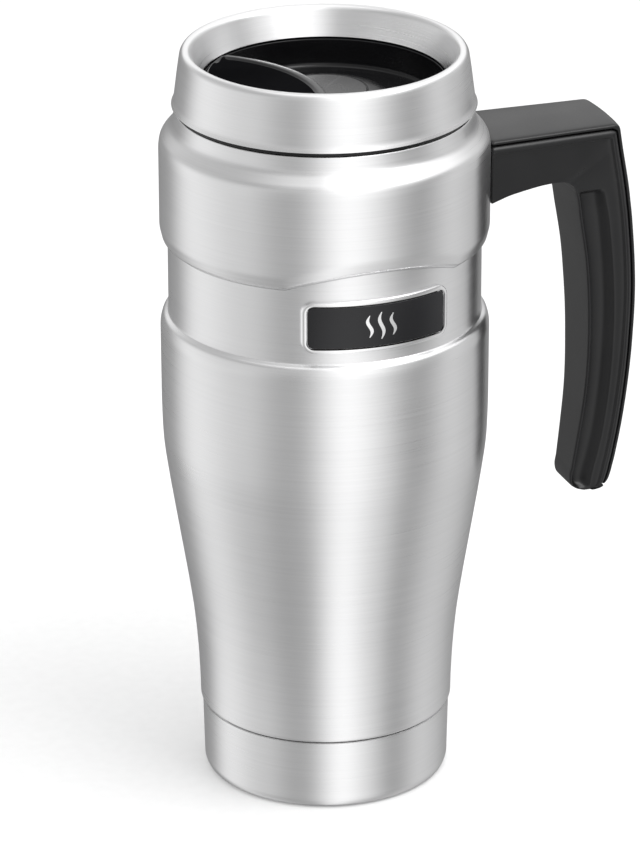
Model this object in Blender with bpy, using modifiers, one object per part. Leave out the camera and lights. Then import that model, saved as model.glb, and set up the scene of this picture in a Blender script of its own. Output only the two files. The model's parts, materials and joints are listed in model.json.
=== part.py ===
"""Insulated travel mug: a double-walled steel body with a badge and a bolted handle, and a screw-in
drink-through lid whose flip lever pushes a spring-loaded valve open. Origin at the centre of the foot,
+Z up, handle towards +X, badge towards -Y."""

import math

import bmesh
import bpy

MM = 0.001
TURN = 2 * math.pi
STEPS = 40  # facets round the body's outer pieces
LID_STEPS = 32  # facets round the liner and the lid
FINE_STEPS = 120  # facets round the badge rings
RIDGE_STEPS = 20  # facets along one thread ridge

# Driving dimensions, in millimetres
SHEET = 0.5  # steel sheet thickness
GAP = 0.3  # play between touching pieces
LIP_Z = 203.0
MOUTH_Z = 186.6
COLLAR_R = 43.25
NECK_R = 41.15
NECK_TOP_Z, NECK_FOOT_Z = 151.8, 131.4
SEAM_Z = 19.7
FOOT_R = 32.8
FOOT_RING_IN_R, FOOT_RING_OUT_R, PANEL_R = 27.6, 31.0, 24.0
PUMP_HOLE_R = 2.2
COLLAR_ARCH_RISE, COLLAR_ARCH_HALF_ANGLE = 4.25, math.radians(34.3)
COLLAR_FOOT_Z = 160.0  # the arch lifts nothing above this
BADGE_HALF_WIDTH, BADGE_FOOT_Z, BADGE_TOP_Z, BADGE_CORNER_R = 20.0, 134.8, 148.8, 3.0
BADGE_RIM, BADGE_PLATE_R, BADGE_POCKET_R, INLAY_R = 1.1, 42.3, 41.72, 42.28
INLAY_LIFT = 0.26  # inlay above the pocket's floor

LINER_MOUTH_R = 36.2  # inside radius at the thread
LINER_R = 32.6  # inside radius below the seat
THREAD_LEAD, THREAD_STARTS, THREAD_TURNS = 12.0, 2, 0.6
THREAD_Z, THREAD_DROP = 175.4, 1.6  # first height of the liner's ridge, and how far below it the lid's is
THREAD_ANGLE = math.radians(2.5)

SKIRT_R = 34.0
DISH_R, DISH_TOP_Z, DISH_FLOOR_Z, DISH_FILLET = 31.35, 194.85, 187.0, 4.0
WELL_R, WELL_FLOOR_Z = 14.5, 181.5
OPENINGS_IN_R, OPENINGS_OUT_R, SPOKE_HALF_WIDTH = 7.4, 13.2, 1.5
COVER_R, COVER_TOP_Z, COVER_GROOVE_R = 17.2, 192.0, 11.2
PORT_HALF_WIDTH, TROUGH_FLOOR_Z = 4.0, 190.3
EAR_IN_Y, EAR_OUT_Y, EAR_R, EAR_FOOT_HALF = 3.3, 6.2, 1.5, 1.35
EAR_PLAY = 0.4  # room for the ears in the lever
LID_ANGLE = math.radians(9.3)  # where the closed lid stops, round Z

LEVER_TOP_Z, LEVER_THICK = 196.0, 1.5
LEVER_OUTER_R = 30.6
LEVER_EDGE_X, LEVER_EDGE_R = -42.5, 38.1  # centre and radius of its inner edge
PIVOT_X, PIVOT_Z = -7.2, 193.4
PIN_R, PIN_HALF = 0.7, 6.1
CAM_R, CAM_HALF_WIDTH, CAM_SLOT_PLAY = 1.7, 2.5, 0.4
VALVE_STROKE, LEVER_TRAVEL = 2.0, math.radians(90)
STEM_R = 2.0
SPRING_LOW_Z, SPRING_HIGH_Z, SPRING_R, SPRING_WIRE_R, SPRING_COILS = 173.6, 184.6, 3.4, 0.28, 5

HANDLE_TOP_Z, HANDLE_HALF_WIDTH = 176.1, 15.0
HANDLE_SKIN = 1.5  # thickness of the cover strip
COVER_INSET = 0.2  # cover strip narrower than the frame on each side
CHANNEL_Y, CHANNEL_TOP_Z, CHANNEL_EDGE = 5.2, 158.5, 1.5
CHANNEL_BAND = 6.2  # from the outer face to the channel
TONGUE_Z, TONGUE_THICK, TONGUE_END_X, TONGUE_HALF_WIDTH = 167.4, 2.0, 63.0, 5.5
BRACKET_R, BRACKET_LOW_Z, BRACKET_HIGH_Z, BRACKET_HALF_WIDTH = 44.9, 162.3, 172.5, 8.2
POCKET_PLAY = 0.4  # room round the bracket in the handle
SCREW_SHANK_R, SCREW_HEAD_R, SCREW_HEAD_Z, SCREW_TIP_Z = 1.5, 2.6, 172.6, 164.0
SCREW_X = {"handle_screw_upper": 50.0, "handle_screw_lower": 58.0}

FAR = 100.0  # cutters reach this far past what they cut

PARTS = bpy.data.collections.new("insulated_travel_mug")
CUTTERS = bpy.data.collections.new("cutters")


# ---------------------------------------------------------------- scene and materials

def clear_scene():
    for item in list(bpy.data.objects):
        bpy.data.objects.remove(item)
    bpy.context.scene.collection.children.link(PARTS)
    bpy.context.scene.collection.children.link(CUTTERS)
    CUTTERS.hide_render = True


def finish_of(name, colour, roughness, metallic):
    made = bpy.data.materials.new(name)
    made.use_nodes = True
    shader = made.node_tree.nodes["Principled BSDF"]
    shader.inputs["Base Color"].default_value = (*colour, 1.0)
    shader.inputs["Roughness"].default_value = roughness
    shader.inputs["Metallic"].default_value = metallic
    return made


def make_finishes():
    return {
        "brushed_steel": finish_of("brushed_steel", (0.72, 0.72, 0.73), 0.32, 1.0),
        "plain_steel": finish_of("plain_steel", (0.60, 0.60, 0.62), 0.25, 1.0),
        "black_plastic": finish_of("black_plastic", (0.015, 0.015, 0.016), 0.35, 0.0),
        "gloss_black": finish_of("gloss_black", (0.008, 0.008, 0.009), 0.12, 0.0),
        "silicone": finish_of("silicone", (0.10, 0.10, 0.11), 0.65, 0.0),
        "getter_metal": finish_of("getter_metal", (0.30, 0.29, 0.28), 0.80, 1.0),
    }


# ---------------------------------------------------------------- shape tools

def smooth_line(points, per_span=4):
    """A Catmull-Rom curve through the points, ends included."""
    line = []
    for i in range(len(points) - 1):
        a = points[max(i - 1, 0)]
        b, c = points[i], points[i + 1]
        d = points[min(i + 2, len(points) - 1)]
        for k in range(per_span):
            t = k / per_span
            line.append(tuple(
                0.5 * (2 * q + (r - p) * t + (2 * p - 5 * q + 4 * r - s) * t * t
                       + (3 * q - p - 3 * r + s) * t ** 3)
                for p, q, r, s in zip(a, b, c, d)))
    return line + [tuple(points[-1])]


def arc(centre, radii, start_deg, end_deg, count):
    """Points on an ellipse's arc, angles anticlockwise from the first axis."""
    steps = [math.radians(start_deg + (end_deg - start_deg) * k / count) for k in range(count + 1)]
    return [(centre[0] + radii[0] * math.cos(a), centre[1] + radii[1] * math.sin(a)) for a in steps]


def offset_line(line, distance):
    """The open line moved to its right-hand side by the distance."""
    moved = []
    for i, (x, z) in enumerate(line):
        ax, az = line[max(i - 1, 0)]
        bx, bz = line[min(i + 1, len(line) - 1)]
        length = math.hypot(bx - ax, bz - az)
        moved.append((x + distance * (bz - az) / length, z - distance * (bx - ax) / length))
    return moved


def add_object(name, data, collection):
    made = bpy.data.objects.new(name, data)
    collection.objects.link(made)
    if collection is CUTTERS:
        made.hide_render = True
        made.display_type = "WIRE"
    return made


def baked(item):
    """The object again as a plain mesh, with its modifiers applied and its loose caps welded."""
    bpy.context.view_layer.update()
    graph = bpy.context.evaluated_depsgraph_get()
    mesh = bpy.data.meshes.new_from_object(item.evaluated_get(graph))
    work = bmesh.new()
    work.from_mesh(mesh)
    bmesh.ops.remove_doubles(work, verts=work.verts, dist=0.005 * MM)
    bmesh.ops.holes_fill(work, edges=[e for e in work.edges if e.is_boundary])
    work.to_mesh(mesh)
    work.free()
    name, place, collection = item.name, item.matrix_world.copy(), item.users_collection[0]
    bpy.data.objects.remove(item)
    made = add_object(name, mesh, collection)
    made.matrix_world = place
    return made


def faced_out(item):
    work = bmesh.new()
    work.from_mesh(item.data)
    bmesh.ops.recalc_face_normals(work, faces=work.faces)
    work.to_mesh(item.data)
    work.free()
    return item


def screw_sweep(name, outline, closed, collection, steps, angle=TURN, rise=0.0):
    """The outline of (radius, height) pairs swept round Z. It runs down its outer side."""
    count = len(outline)
    edges = [(i, (i + 1) % count) for i in range(count if closed else count - 1)]
    mesh = bpy.data.meshes.new(name)
    mesh.from_pydata([(r * MM, 0.0, z * MM) for r, z in outline], edges, [])
    made = add_object(name, mesh, collection)
    screw = made.modifiers.new("Turn", "SCREW")
    screw.axis = "Z"
    screw.angle = angle
    screw.screw_offset = rise * MM
    screw.steps = screw.render_steps = steps
    screw.use_merge_vertices = True
    screw.merge_threshold = 0.005 * MM
    return made


def smooth_shaded(item):
    item.data.shade_smooth()
    item.data.set_sharp_from_angle(angle=math.radians(35))
    return item


def turned(name, outline, closed=True, collection=PARTS, steps=LID_STEPS):
    """A solid of revolution. An outline that starts and ends on the axis isn't closed."""
    return smooth_shaded(baked(screw_sweep(name, outline, closed, collection, steps)))


def sheet_turned(name, outline, steps=STEPS, shape=None):
    """A turned sheet: the outline is its outer face, and the sheet's thickness lies behind it."""
    sweep = screw_sweep(name, outline, False, PARTS, steps)
    bpy.context.view_layer.update()
    graph = bpy.context.evaluated_depsgraph_get()
    surface = bpy.data.meshes.new_from_object(sweep.evaluated_get(graph))
    bpy.data.objects.remove(sweep)
    if shape:
        for vertex in surface.vertices:
            shape(vertex)
    made = add_object(name, surface, PARTS)
    solidify = made.modifiers.new("Sheet", "SOLIDIFY")
    solidify.thickness = SHEET * MM
    solidify.offset = -1.0
    solidify.use_even_offset = True
    return smooth_shaded(baked(made))


def flat_outline(name, outline, low, high, plane, collection):
    """A prism of an outline: plane "XY" runs from low to high in Z, "XZ" in Y, "YZ" in X."""
    curve = bpy.data.curves.new(name, "CURVE")
    curve.dimensions = "2D"
    curve.fill_mode = "BOTH"
    curve.extrude = (high - low) / 2 * MM
    spline = curve.splines.new("POLY")
    spline.points.add(len(outline) - 1)
    for point, (x, y) in zip(spline.points, outline):
        point.co = (x * MM, y * MM, 0.0, 1.0)
    spline.use_cyclic_u = True
    made = add_object(name, curve, collection)
    middle = (low + high) / 2 * MM
    if plane == "XY":
        made.location.z = middle
    elif plane == "XZ":
        made.rotation_euler.x = math.pi / 2
        made.location.y = middle
    else:
        made.rotation_euler = (math.pi / 2, 0.0, math.pi / 2)
        made.location.x = middle
    return faced_out(baked(made))


def box(name, low, high, collection=CUTTERS):
    mesh = bpy.data.meshes.new(name)
    work = bmesh.new()
    bmesh.ops.create_cube(work, size=1.0)
    for vertex in work.verts:
        for axis in range(3):
            side = high[axis] if vertex.co[axis] > 0 else low[axis]
            vertex.co[axis] = side * MM
    work.to_mesh(mesh)
    work.free()
    return add_object(name, mesh, collection)


def rod_y(name, radius, x, z, half_length, collection=CUTTERS, segments=20):
    """A cylinder along Y, with its ends at plus and minus half_length."""
    mesh = bpy.data.meshes.new(name)
    work = bmesh.new()
    bmesh.ops.create_cone(work, cap_ends=True, segments=segments, radius1=radius * MM,
                          radius2=radius * MM, depth=2 * half_length * MM)
    work.to_mesh(mesh)
    work.free()
    made = add_object(name, mesh, collection)
    made.rotation_euler.x = math.pi / 2
    made.location = (x * MM, 0.0, z * MM)
    return made


def combine(item, other, operation="DIFFERENCE"):
    modifier = item.modifiers.new(other.name, "BOOLEAN")
    modifier.operation = operation
    modifier.object = other
    modifier.solver = "EXACT"
    return item


def thread_ridge(name, root_r, crest_r, first_z, first_angle):
    """One helical ridge that rises anticlockwise, rooted inside its wall."""
    half_root, half_crest = 1.15, 0.55
    outline = [(root_r, first_z + half_root), (crest_r, first_z + half_crest),
               (crest_r, first_z - half_crest), (root_r, first_z - half_root)]
    ridge = screw_sweep(name, outline, True, CUTTERS, RIDGE_STEPS, TURN * THREAD_TURNS,
                        THREAD_LEAD * THREAD_TURNS)
    ridge = faced_out(baked(ridge))
    ridge.rotation_euler.z = first_angle
    return ridge


def add_thread(item, root_r, crest_r, first_z):
    for start in range(THREAD_STARTS):
        ridge = thread_ridge(f"{item.name}_ridge_{start}", root_r, crest_r, first_z,
                             THREAD_ANGLE + TURN * start / THREAD_STARTS)
        combine(item, ridge, "UNION")
    return item


# ---------------------------------------------------------------- body

def body_outline():
    mouth = [(37.4, MOUTH_Z), (38.7, MOUTH_Z)]
    shoulder = [(39.2, 186.0), (39.8, 182.9), (41.4, 180.8), (42.8, 179.3), (COLLAR_R, 177.4)]
    collar = [(COLLAR_R, 163.0), (COLLAR_R, 155.4), (42.6, 153.4), (41.8, 152.1)]
    neck = [(NECK_R, NECK_TOP_Z - 0.2), (NECK_R, NECK_FOOT_Z), (42.2, 131.0), (42.9, 130.2)]
    taper = [(43.3, 129.0), (43.2, 105.0), (41.5, 85.0), (38.3, 65.0), (35.3, 45.0), (34.05, 30.0),
             (33.8, 20.6)]
    foot = [(33.4, SEAM_Z + 0.2), (32.4, SEAM_Z), (32.3, 6.6)]
    return mouth + shoulder + collar + neck + taper + foot


def raise_over_badge(vertex):
    """Lifts the collar's lower edge into an arch over the badge."""
    height = vertex.co.z / MM
    angle = math.atan2(vertex.co.x, -vertex.co.y)
    if NECK_TOP_Z - 1 < height < COLLAR_FOOT_Z and abs(angle) < COLLAR_ARCH_HALF_ANGLE:
        vertex.co.z += COLLAR_ARCH_RISE * MM * (1 - (angle / COLLAR_ARCH_HALF_ANGLE) ** 2)


def make_outer_shell():
    return sheet_turned("outer_shell", body_outline(), shape=raise_over_badge)


def make_inner_liner():
    mouth_r, wall_r = LINER_MOUTH_R + SHEET, LINER_R + SHEET
    outline = [(mouth_r, MOUTH_Z - 0.2), (mouth_r, 171.5), (wall_r, 165.2), (wall_r, 70.0),
               (32.4, 60.0), (31.0, 45.0), (30.2, 30.0)]
    outline += arc((22.0, 20.0), (8.0, 8.0), 0, -90, 4)
    outline += [(0.0, 12.0)]
    liner = sheet_turned("inner_liner", outline, LID_STEPS)
    return add_thread(liner, LINER_MOUTH_R + 0.25, 34.45, THREAD_Z)


def make_base_cup():
    side = [(33.25, SEAM_Z - 0.4), (FOOT_R, 2.2)]
    corner = [(32.3, 0.7), (FOOT_RING_OUT_R, 0.0)]
    groove = [(FOOT_RING_IN_R, 0.0), (FOOT_RING_IN_R - 0.7, 0.6), (PANEL_R + 0.7, 0.6)]
    panel = [(PANEL_R, 0.0), (0.0, 0.0)]
    return sheet_turned("base_cup", side + corner + groove + panel)


def make_shell_bottom():
    """Pressed plate welded into the outer shell, with the pump-out hole in its middle."""
    return sheet_turned("shell_bottom", [(31.45, 12.0), (31.45, 8.2), (30.5, 7.2), (PUMP_HOLE_R, 7.2)])


def make_getter():
    return turned("getter", [(0.0, 11.7), (5.0, 11.7), (5.5, 11.2), (5.5, 9.6), (0.0, 9.6)], False, steps=24)


def make_vacuum_seal():
    outline = [(0.0, 8.0), (1.8, 8.0), (1.8, 6.9), (4.5, 6.9), (4.5, 6.1), (3.9, 5.6), (0.0, 5.6)]
    return turned("vacuum_seal", outline, False, steps=24)


# ---------------------------------------------------------------- badge

def badge_outline(inset):
    """The badge seen from the front: a plain rounded rectangle."""
    x = BADGE_HALF_WIDTH - BADGE_CORNER_R
    low, high = BADGE_FOOT_Z + BADGE_CORNER_R, BADGE_TOP_Z - BADGE_CORNER_R
    radius = BADGE_CORNER_R - inset
    outline = []
    for centre, start in (((x, high), 90), ((x, low), 0), ((-x, low), -90), ((-x, high), -180)):
        outline += arc(centre, (radius, radius), start, start - 90, 4)
    return outline


def badge_layer(name, inner_r, outer_r, inset, collection):
    """A piece of a ring round the neck, as wide and high as the badge outline."""
    high, low = BADGE_TOP_Z + 3, BADGE_FOOT_Z - 3
    ring = turned(name, [(inner_r, high), (outer_r, high), (outer_r, low), (inner_r, low)], True,
                  collection, FINE_STEPS)
    front = flat_outline(name + "_front", badge_outline(inset), -FAR, -NECK_R / 2, "XZ", CUTTERS)
    return combine(ring, front, "INTERSECT")


def make_badge_plate():
    plate = badge_layer("badge_plate", NECK_R + GAP, BADGE_PLATE_R, 0.0, PARTS)
    pocket = badge_layer("badge_pocket", BADGE_POCKET_R, BADGE_PLATE_R + 1, BADGE_RIM, CUTTERS)
    return combine(plate, pocket)


def make_badge_inlay():
    return badge_layer("badge_inlay", BADGE_POCKET_R + INLAY_LIFT, INLAY_R, BADGE_RIM + GAP, PARTS)


# ---------------------------------------------------------------- handle

def handle_outer_line():
    """Side view of the outer face: along the top from the collar, round the corner and down the grip."""
    top = [(42.0, HANDLE_TOP_Z), (58.0, HANDLE_TOP_Z)]
    corner = arc((75.5, HANDLE_TOP_Z - 2.8), (2.8, 2.8), 90, 18, 4)
    grip = smooth_line([(78.9, 171.3), (81.1, 160.5), (83.2, 148.0), (84.7, 127.0), (84.2, 107.0),
                        (82.6, 88.5), (80.3, 75.6)], 3)
    return top + corner + grip


def handle_inner_line():
    """Side view of the finger side, from the foot of the grip up and back to the collar."""
    grip = smooth_line([(68.9, 75.5), (70.6, 90.0), (71.9, 109.0), (71.2, 130.0), (68.1, 152.5)], 3)
    fillet = [(67.3, 157.4), (65.6, 160.4), (62.4, 161.8)]
    arm = [(56.0, 162.0), (49.0, 161.0), (42.0, 158.6)]
    return grip + fillet + arm


def front_outline(inset):
    """Front view of the handle: wide at the arm, narrow at the foot of the grip."""
    side = smooth_line([(12.0, 178.0), (12.0, 166.0), (9.8, 153.0), (9.3, 130.0), (8.4, 110.0),
                        (6.9, 90.0), (6.0, 74.0), (6.0, 66.0)], 2)
    side = [(y - inset, z) for y, z in side]
    return side + [(-y, z) for y, z in reversed(side)]


def handle_side(outer_shift):
    """Side outline of the handle with its outer face moved in."""
    outer = offset_line(handle_outer_line(), outer_shift)
    foot = arc((73.7, 74.8), (5.1, 5.6), -10, -170, 6)
    return outer + foot + handle_inner_line()


def channel_outline():
    """Side view of the channel, squared off under the arm."""
    outer = [(x, z) for x, z in offset_line(handle_outer_line(), CHANNEL_BAND) if z < CHANNEL_TOP_Z - 1]
    inner = [(x + CHANNEL_EDGE, z) for x, z in handle_inner_line() if z < CHANNEL_TOP_Z - 3]
    return [(75.3, CHANNEL_TOP_Z)] + outer + inner + [(69.3, CHANNEL_TOP_Z)]


def make_handle_frame():
    frame = flat_outline("handle_frame", handle_side(HANDLE_SKIN + GAP), -HANDLE_HALF_WIDTH,
                         HANDLE_HALF_WIDTH, "XZ", PARTS)
    front = flat_outline("frame_front", front_outline(0.0), NECK_R - 10, FAR, "YZ", CUTTERS)
    combine(frame, front, "INTERSECT")
    space_r = COLLAR_R + 0.35
    combine(frame, turned("collar_space", [(0.0, LIP_Z), (space_r, LIP_Z), (space_r, NECK_FOOT_Z),
                                           (0.0, NECK_FOOT_Z)], False, CUTTERS))
    plate_y, tongue_y = BRACKET_HALF_WIDTH + POCKET_PLAY, TONGUE_HALF_WIDTH + POCKET_PLAY
    tongue_half = TONGUE_THICK / 2 + POCKET_PLAY
    combine(frame, box("plate_pocket", (NECK_R - 3, -plate_y, BRACKET_LOW_Z - POCKET_PLAY),
                       (BRACKET_R + 0.6, plate_y, BRACKET_HIGH_Z + POCKET_PLAY)))
    combine(frame, box("tongue_pocket", (NECK_R - 1, -tongue_y, TONGUE_Z - tongue_half),
                       (TONGUE_END_X + POCKET_PLAY, tongue_y, TONGUE_Z + tongue_half)))
    for side in (1, -1):
        low, high = sorted((side * CHANNEL_Y, side * FAR))
        channel = flat_outline(f"channel_{side}", channel_outline(), low, high, "XZ", CUTTERS)
        combine(frame, channel)
    for name, x in SCREW_X.items():
        head_r, shank_r, end_z = SCREW_HEAD_R + 0.4, SCREW_SHANK_R + 0.4, SCREW_TIP_Z - 0.5
        hole = turned(name + "_hole", [(0.0, LIP_Z), (head_r, LIP_Z), (head_r, 171.0), (shank_r, 171.0),
                                       (shank_r, end_z), (0.0, end_z)], False, CUTTERS, 20)
        hole.location.x = x * MM
        combine(frame, hole)
    return frame


def make_handle_cover():
    outer = [(x, z) for x, z in handle_outer_line() if x > 43.0 or z < 170.0]
    outer = [(44.1, HANDLE_TOP_Z)] + outer
    inner = offset_line(outer, HANDLE_SKIN)
    cover = flat_outline("handle_cover", outer + inner[::-1], -HANDLE_HALF_WIDTH, HANDLE_HALF_WIDTH, "XZ",
                         PARTS)
    front = flat_outline("cover_front", front_outline(COVER_INSET), NECK_R - 10, FAR, "YZ", CUTTERS)
    return combine(cover, front, "INTERSECT")


def make_handle_bracket():
    """A curved plate welded on the collar, with a tongue that reaches into the arm."""
    inner_r = COLLAR_R + GAP
    ring = turned("handle_bracket", [(inner_r, BRACKET_HIGH_Z), (BRACKET_R, BRACKET_HIGH_Z),
                                     (BRACKET_R, BRACKET_LOW_Z), (inner_r, BRACKET_LOW_Z)], True, PARTS,
                  FINE_STEPS)
    combine(ring, box("bracket_side", (NECK_R - 10, -BRACKET_HALF_WIDTH, BRACKET_LOW_Z - 10),
                      (FAR, BRACKET_HALF_WIDTH, BRACKET_HIGH_Z + 10)), "INTERSECT")
    half = TONGUE_THICK / 2
    combine(ring, box("bracket_tongue", (BRACKET_R - 0.8, -TONGUE_HALF_WIDTH, TONGUE_Z - half),
                      (TONGUE_END_X, TONGUE_HALF_WIDTH, TONGUE_Z + half)), "UNION")
    for name, x in SCREW_X.items():
        high, low, hole_r = TONGUE_Z + half + 3, TONGUE_Z - half - 3, SCREW_SHANK_R + GAP
        hole = turned(name + "_tap", [(0.0, high), (hole_r, high), (hole_r, low), (0.0, low)], False,
                      CUTTERS, 20)
        hole.location.x = x * MM
        combine(ring, hole)
    return ring


def make_handle_screw(name, x):
    head = [(0.0, SCREW_HEAD_Z), (1.6, SCREW_HEAD_Z), (SCREW_HEAD_R, SCREW_HEAD_Z - 0.6),
            (SCREW_HEAD_R, SCREW_HEAD_Z - 1.3)]
    shank = [(SCREW_SHANK_R, SCREW_HEAD_Z - 1.3), (SCREW_SHANK_R, SCREW_TIP_Z + 0.6), (1.1, SCREW_TIP_Z),
             (0.0, SCREW_TIP_Z)]
    screw = turned(name, head + shank, False, steps=20)
    slot = box(name + "_slot", (x - 0.35, -4.0, SCREW_HEAD_Z - 0.6), (x + 0.35, 4.0, SCREW_HEAD_Z + 1.4))
    screw.location.x = x * MM
    return combine(screw, slot)


# ---------------------------------------------------------------- lid

def make_lid_steel_rim():
    cone = [(31.75, 195.4), (34.6, 202.5)]
    lip = [(35.1, 202.9), (35.8, LIP_Z), (36.6, LIP_Z), (37.2, 202.5)]
    wall = [(37.75, 200.6), (38.45, 195.0), (39.1, 190.0), (39.3, 189.3), (39.74, 188.5)]
    return sheet_turned("lid_steel_rim", cone + lip + wall, LID_STEPS)


def lid_body_outline():
    crown = [(DISH_R, DISH_TOP_Z), (32.75, DISH_TOP_Z), (33.95, 197.8), (37.2, 197.8), (38.25, 190.3),
             (38.7, 188.6), (38.7, 188.1)]
    flange = [(39.15, 188.1), (39.15, MOUTH_Z + 0.35), (SKIRT_R, MOUTH_Z + 0.35)]
    groove = [(SKIRT_R, 170.6), (31.3, 170.6), (31.3, 167.2), (32.2, 167.2), (32.2, 165.9)]
    inside = [(29.6, 165.9), (29.6, 185.0), (16.2, 185.0), (16.2, 179.5)]
    guide = [(6.0, 179.5), (6.0, 171.5), (STEM_R + GAP, 171.5), (STEM_R + GAP, 173.0), (4.6, 173.0),
             (4.6, WELL_FLOOR_Z)]
    well = [(WELL_R, WELL_FLOOR_Z), (WELL_R, DISH_FLOOR_Z)]
    dish = arc((DISH_R - DISH_FILLET, DISH_FLOOR_Z + DISH_FILLET), (DISH_FILLET, DISH_FILLET), -90, 0, 4)
    return crown + flange + groove + inside + guide + well + dish


def make_lid_body():
    body = turned("lid_body", lid_body_outline())
    high, low = WELL_FLOOR_Z + 1.5, WELL_FLOOR_Z - 3.5
    ring = turned("drink_openings", [(OPENINGS_IN_R, high), (OPENINGS_OUT_R, high), (OPENINGS_OUT_R, low),
                                     (OPENINGS_IN_R, low)], True, CUTTERS)
    half = SPOKE_HALF_WIDTH
    combine(ring, box("spoke_x", (-FAR, -half, low - 5), (FAR, half, high + 5)))
    combine(ring, box("spoke_y", (-half, -FAR, low - 5), (half, FAR, high + 5)))
    combine(body, baked(ring))
    return add_thread(body, SKIRT_R - 0.5, 35.7, THREAD_Z - THREAD_DROP)


def make_lid_base():
    outline = [(16.6, 184.6), (18.0, 184.6), (18.0, 167.5), (28.0, 167.5), (28.0, 172.0), (29.2, 172.0),
               (29.2, 166.0), (13.0, 166.0), (13.0, 167.5), (16.6, 167.5)]
    return turned("lid_base", outline)


def make_lid_gasket():
    outline = [(31.65, 170.3), (33.95, 170.3), (33.95, 168.6), (33.3, 167.5), (31.65, 167.5)]
    return turned("lid_gasket", outline)


def make_valve_cover():
    outline = [(0.0, COVER_TOP_Z), (COVER_GROOVE_R - 0.3, COVER_TOP_Z), (COVER_GROOVE_R, COVER_TOP_Z - 0.5),
               (COVER_GROOVE_R + 0.3, COVER_TOP_Z - 0.1), (COVER_R, 190.0), (COVER_R, DISH_FLOOR_Z + 0.35),
               (COVER_R - 1.6, DISH_FLOOR_Z + 0.35), (COVER_R - 1.6, 188.6), (14.8, 189.0), (0.0, 189.0)]
    cover = turned("valve_cover", outline, False)
    combine(cover, box("lever_trough", (PIVOT_X - 2.4, -FAR, TROUGH_FLOOR_Z),
                       (PIVOT_X + 4.0, FAR, LEVER_TOP_Z)))
    for side in (1, -1):
        low, high = sorted((side * EAR_IN_Y, side * EAR_OUT_Y))
        ear = box(f"ear_foot_{side}", (PIVOT_X - EAR_FOOT_HALF, low, TROUGH_FLOOR_Z - 0.5),
                  (PIVOT_X + EAR_FOOT_HALF, high, PIVOT_Z))
        top = rod_y(f"ear_top_{side}", EAR_R, PIVOT_X, PIVOT_Z, (high - low) / 2)
        top.location.y = (low + high) / 2 * MM
        combine(cover, ear, "UNION")
        combine(cover, top, "UNION")
        port = box(f"drink_port_{side}", (-30.0, -PORT_HALF_WIDTH, DISH_FLOOR_Z - 1),
                   (30.0, PORT_HALF_WIDTH, DISH_FLOOR_Z + 1.5))
        port.rotation_euler.z = side * math.pi / 4
        combine(cover, port)
    combine(cover, rod_y("ear_bore", PIN_R + GAP, PIVOT_X, PIVOT_Z, 12.0))
    slot_y = CAM_HALF_WIDTH + CAM_SLOT_PLAY
    combine(cover, box("cam_slot", (PIVOT_X - 3.0, -slot_y, DISH_FLOOR_Z - 1),
                       (PIVOT_X + 4.2, slot_y, LEVER_TOP_Z)))
    return cover


def lever_plate_outline():
    """A half-moon: the outer edge follows the dish, the inner edge is a flatter arc."""
    corner_x = (LEVER_OUTER_R ** 2 - LEVER_EDGE_R ** 2 + LEVER_EDGE_X ** 2) / (2 * LEVER_EDGE_X)
    corner_y = math.sqrt(LEVER_OUTER_R ** 2 - corner_x ** 2)
    outer = math.degrees(math.atan2(corner_y, corner_x))
    inner = math.degrees(math.atan2(corner_y, corner_x - LEVER_EDGE_X))
    back = arc((0.0, 0.0), (LEVER_OUTER_R,) * 2, outer, 360 - outer, 20)
    front = arc((LEVER_EDGE_X, 0.0), (LEVER_EDGE_R,) * 2, -inner, inner, 14)
    return back + front[1:-1]


def cam_outline():
    """Side view of the cam: the distance from the pivot to the flat under it grows evenly with the turn."""
    growth = VALVE_STROKE / LEVER_TRAVEL
    lobe = []
    for k in range(11):
        a = LEVER_TRAVEL * k / 10
        reach = CAM_R + growth * a
        lobe.append((PIVOT_X + reach * math.sin(a) + growth * math.cos(a),
                     PIVOT_Z - reach * math.cos(a) + growth * math.sin(a)))
    heel = arc((PIVOT_X, PIVOT_Z), (CAM_R, CAM_R), 180, 270, 5)
    return lobe + [(PIVOT_X + 2.6, PIVOT_Z + 1.8), (PIVOT_X - CAM_R, PIVOT_Z + 1.8)] + heel


def make_lever():
    plate = flat_outline("lever", lever_plate_outline(), LEVER_TOP_Z - LEVER_THICK, LEVER_TOP_Z, "XY", PARTS)
    cam = flat_outline("lever_cam", cam_outline(), -CAM_HALF_WIDTH, CAM_HALF_WIDTH, "XZ", CUTTERS)
    combine(plate, cam, "UNION")
    combine(plate, rod_y("lever_bore", PIN_R + GAP, PIVOT_X, PIVOT_Z, 12.0))
    for side in (1, -1):
        low, high = sorted((side * (EAR_IN_Y - EAR_PLAY), side * (EAR_OUT_Y + EAR_PLAY)))
        combine(plate, box(f"ear_pocket_{side}", (PIVOT_X - EAR_R - EAR_PLAY, low, TROUGH_FLOOR_Z - 0.3),
                           (PIVOT_X + 3.6, high, PIVOT_Z + EAR_R + 0.35)))
    return plate


def make_lever_pin():
    return rod_y("lever_pin", PIN_R, PIVOT_X, PIVOT_Z, PIN_HALF, PARTS)


def make_valve_stem():
    outline = [(0.0, 186.4), (9.2, 186.4), (9.2, 185.2), (STEM_R, 185.2), (STEM_R, 161.8), (1.6, 161.4),
               (0.0, 161.4)]
    stem = turned("valve_stem", outline, False, steps=32)
    post = box("follower_post", (PIVOT_X - 2.0, -2.3, 185.8), (PIVOT_X + 3.2, 2.3, PIVOT_Z - CAM_R - GAP))
    return combine(stem, post, "UNION")


def make_valve_disc():
    outline = [(STEM_R + GAP, 164.6), (15.4, 164.6), (15.4, 163.6), (15.0, 163.2), (STEM_R + GAP, 163.2)]
    return turned("valve_disc", outline, steps=40)


def make_valve_seal():
    outline = [(13.5, 165.7), (15.2, 165.7), (15.2, 164.9), (13.5, 164.9)]
    return turned("valve_seal", outline, steps=40)


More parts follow.
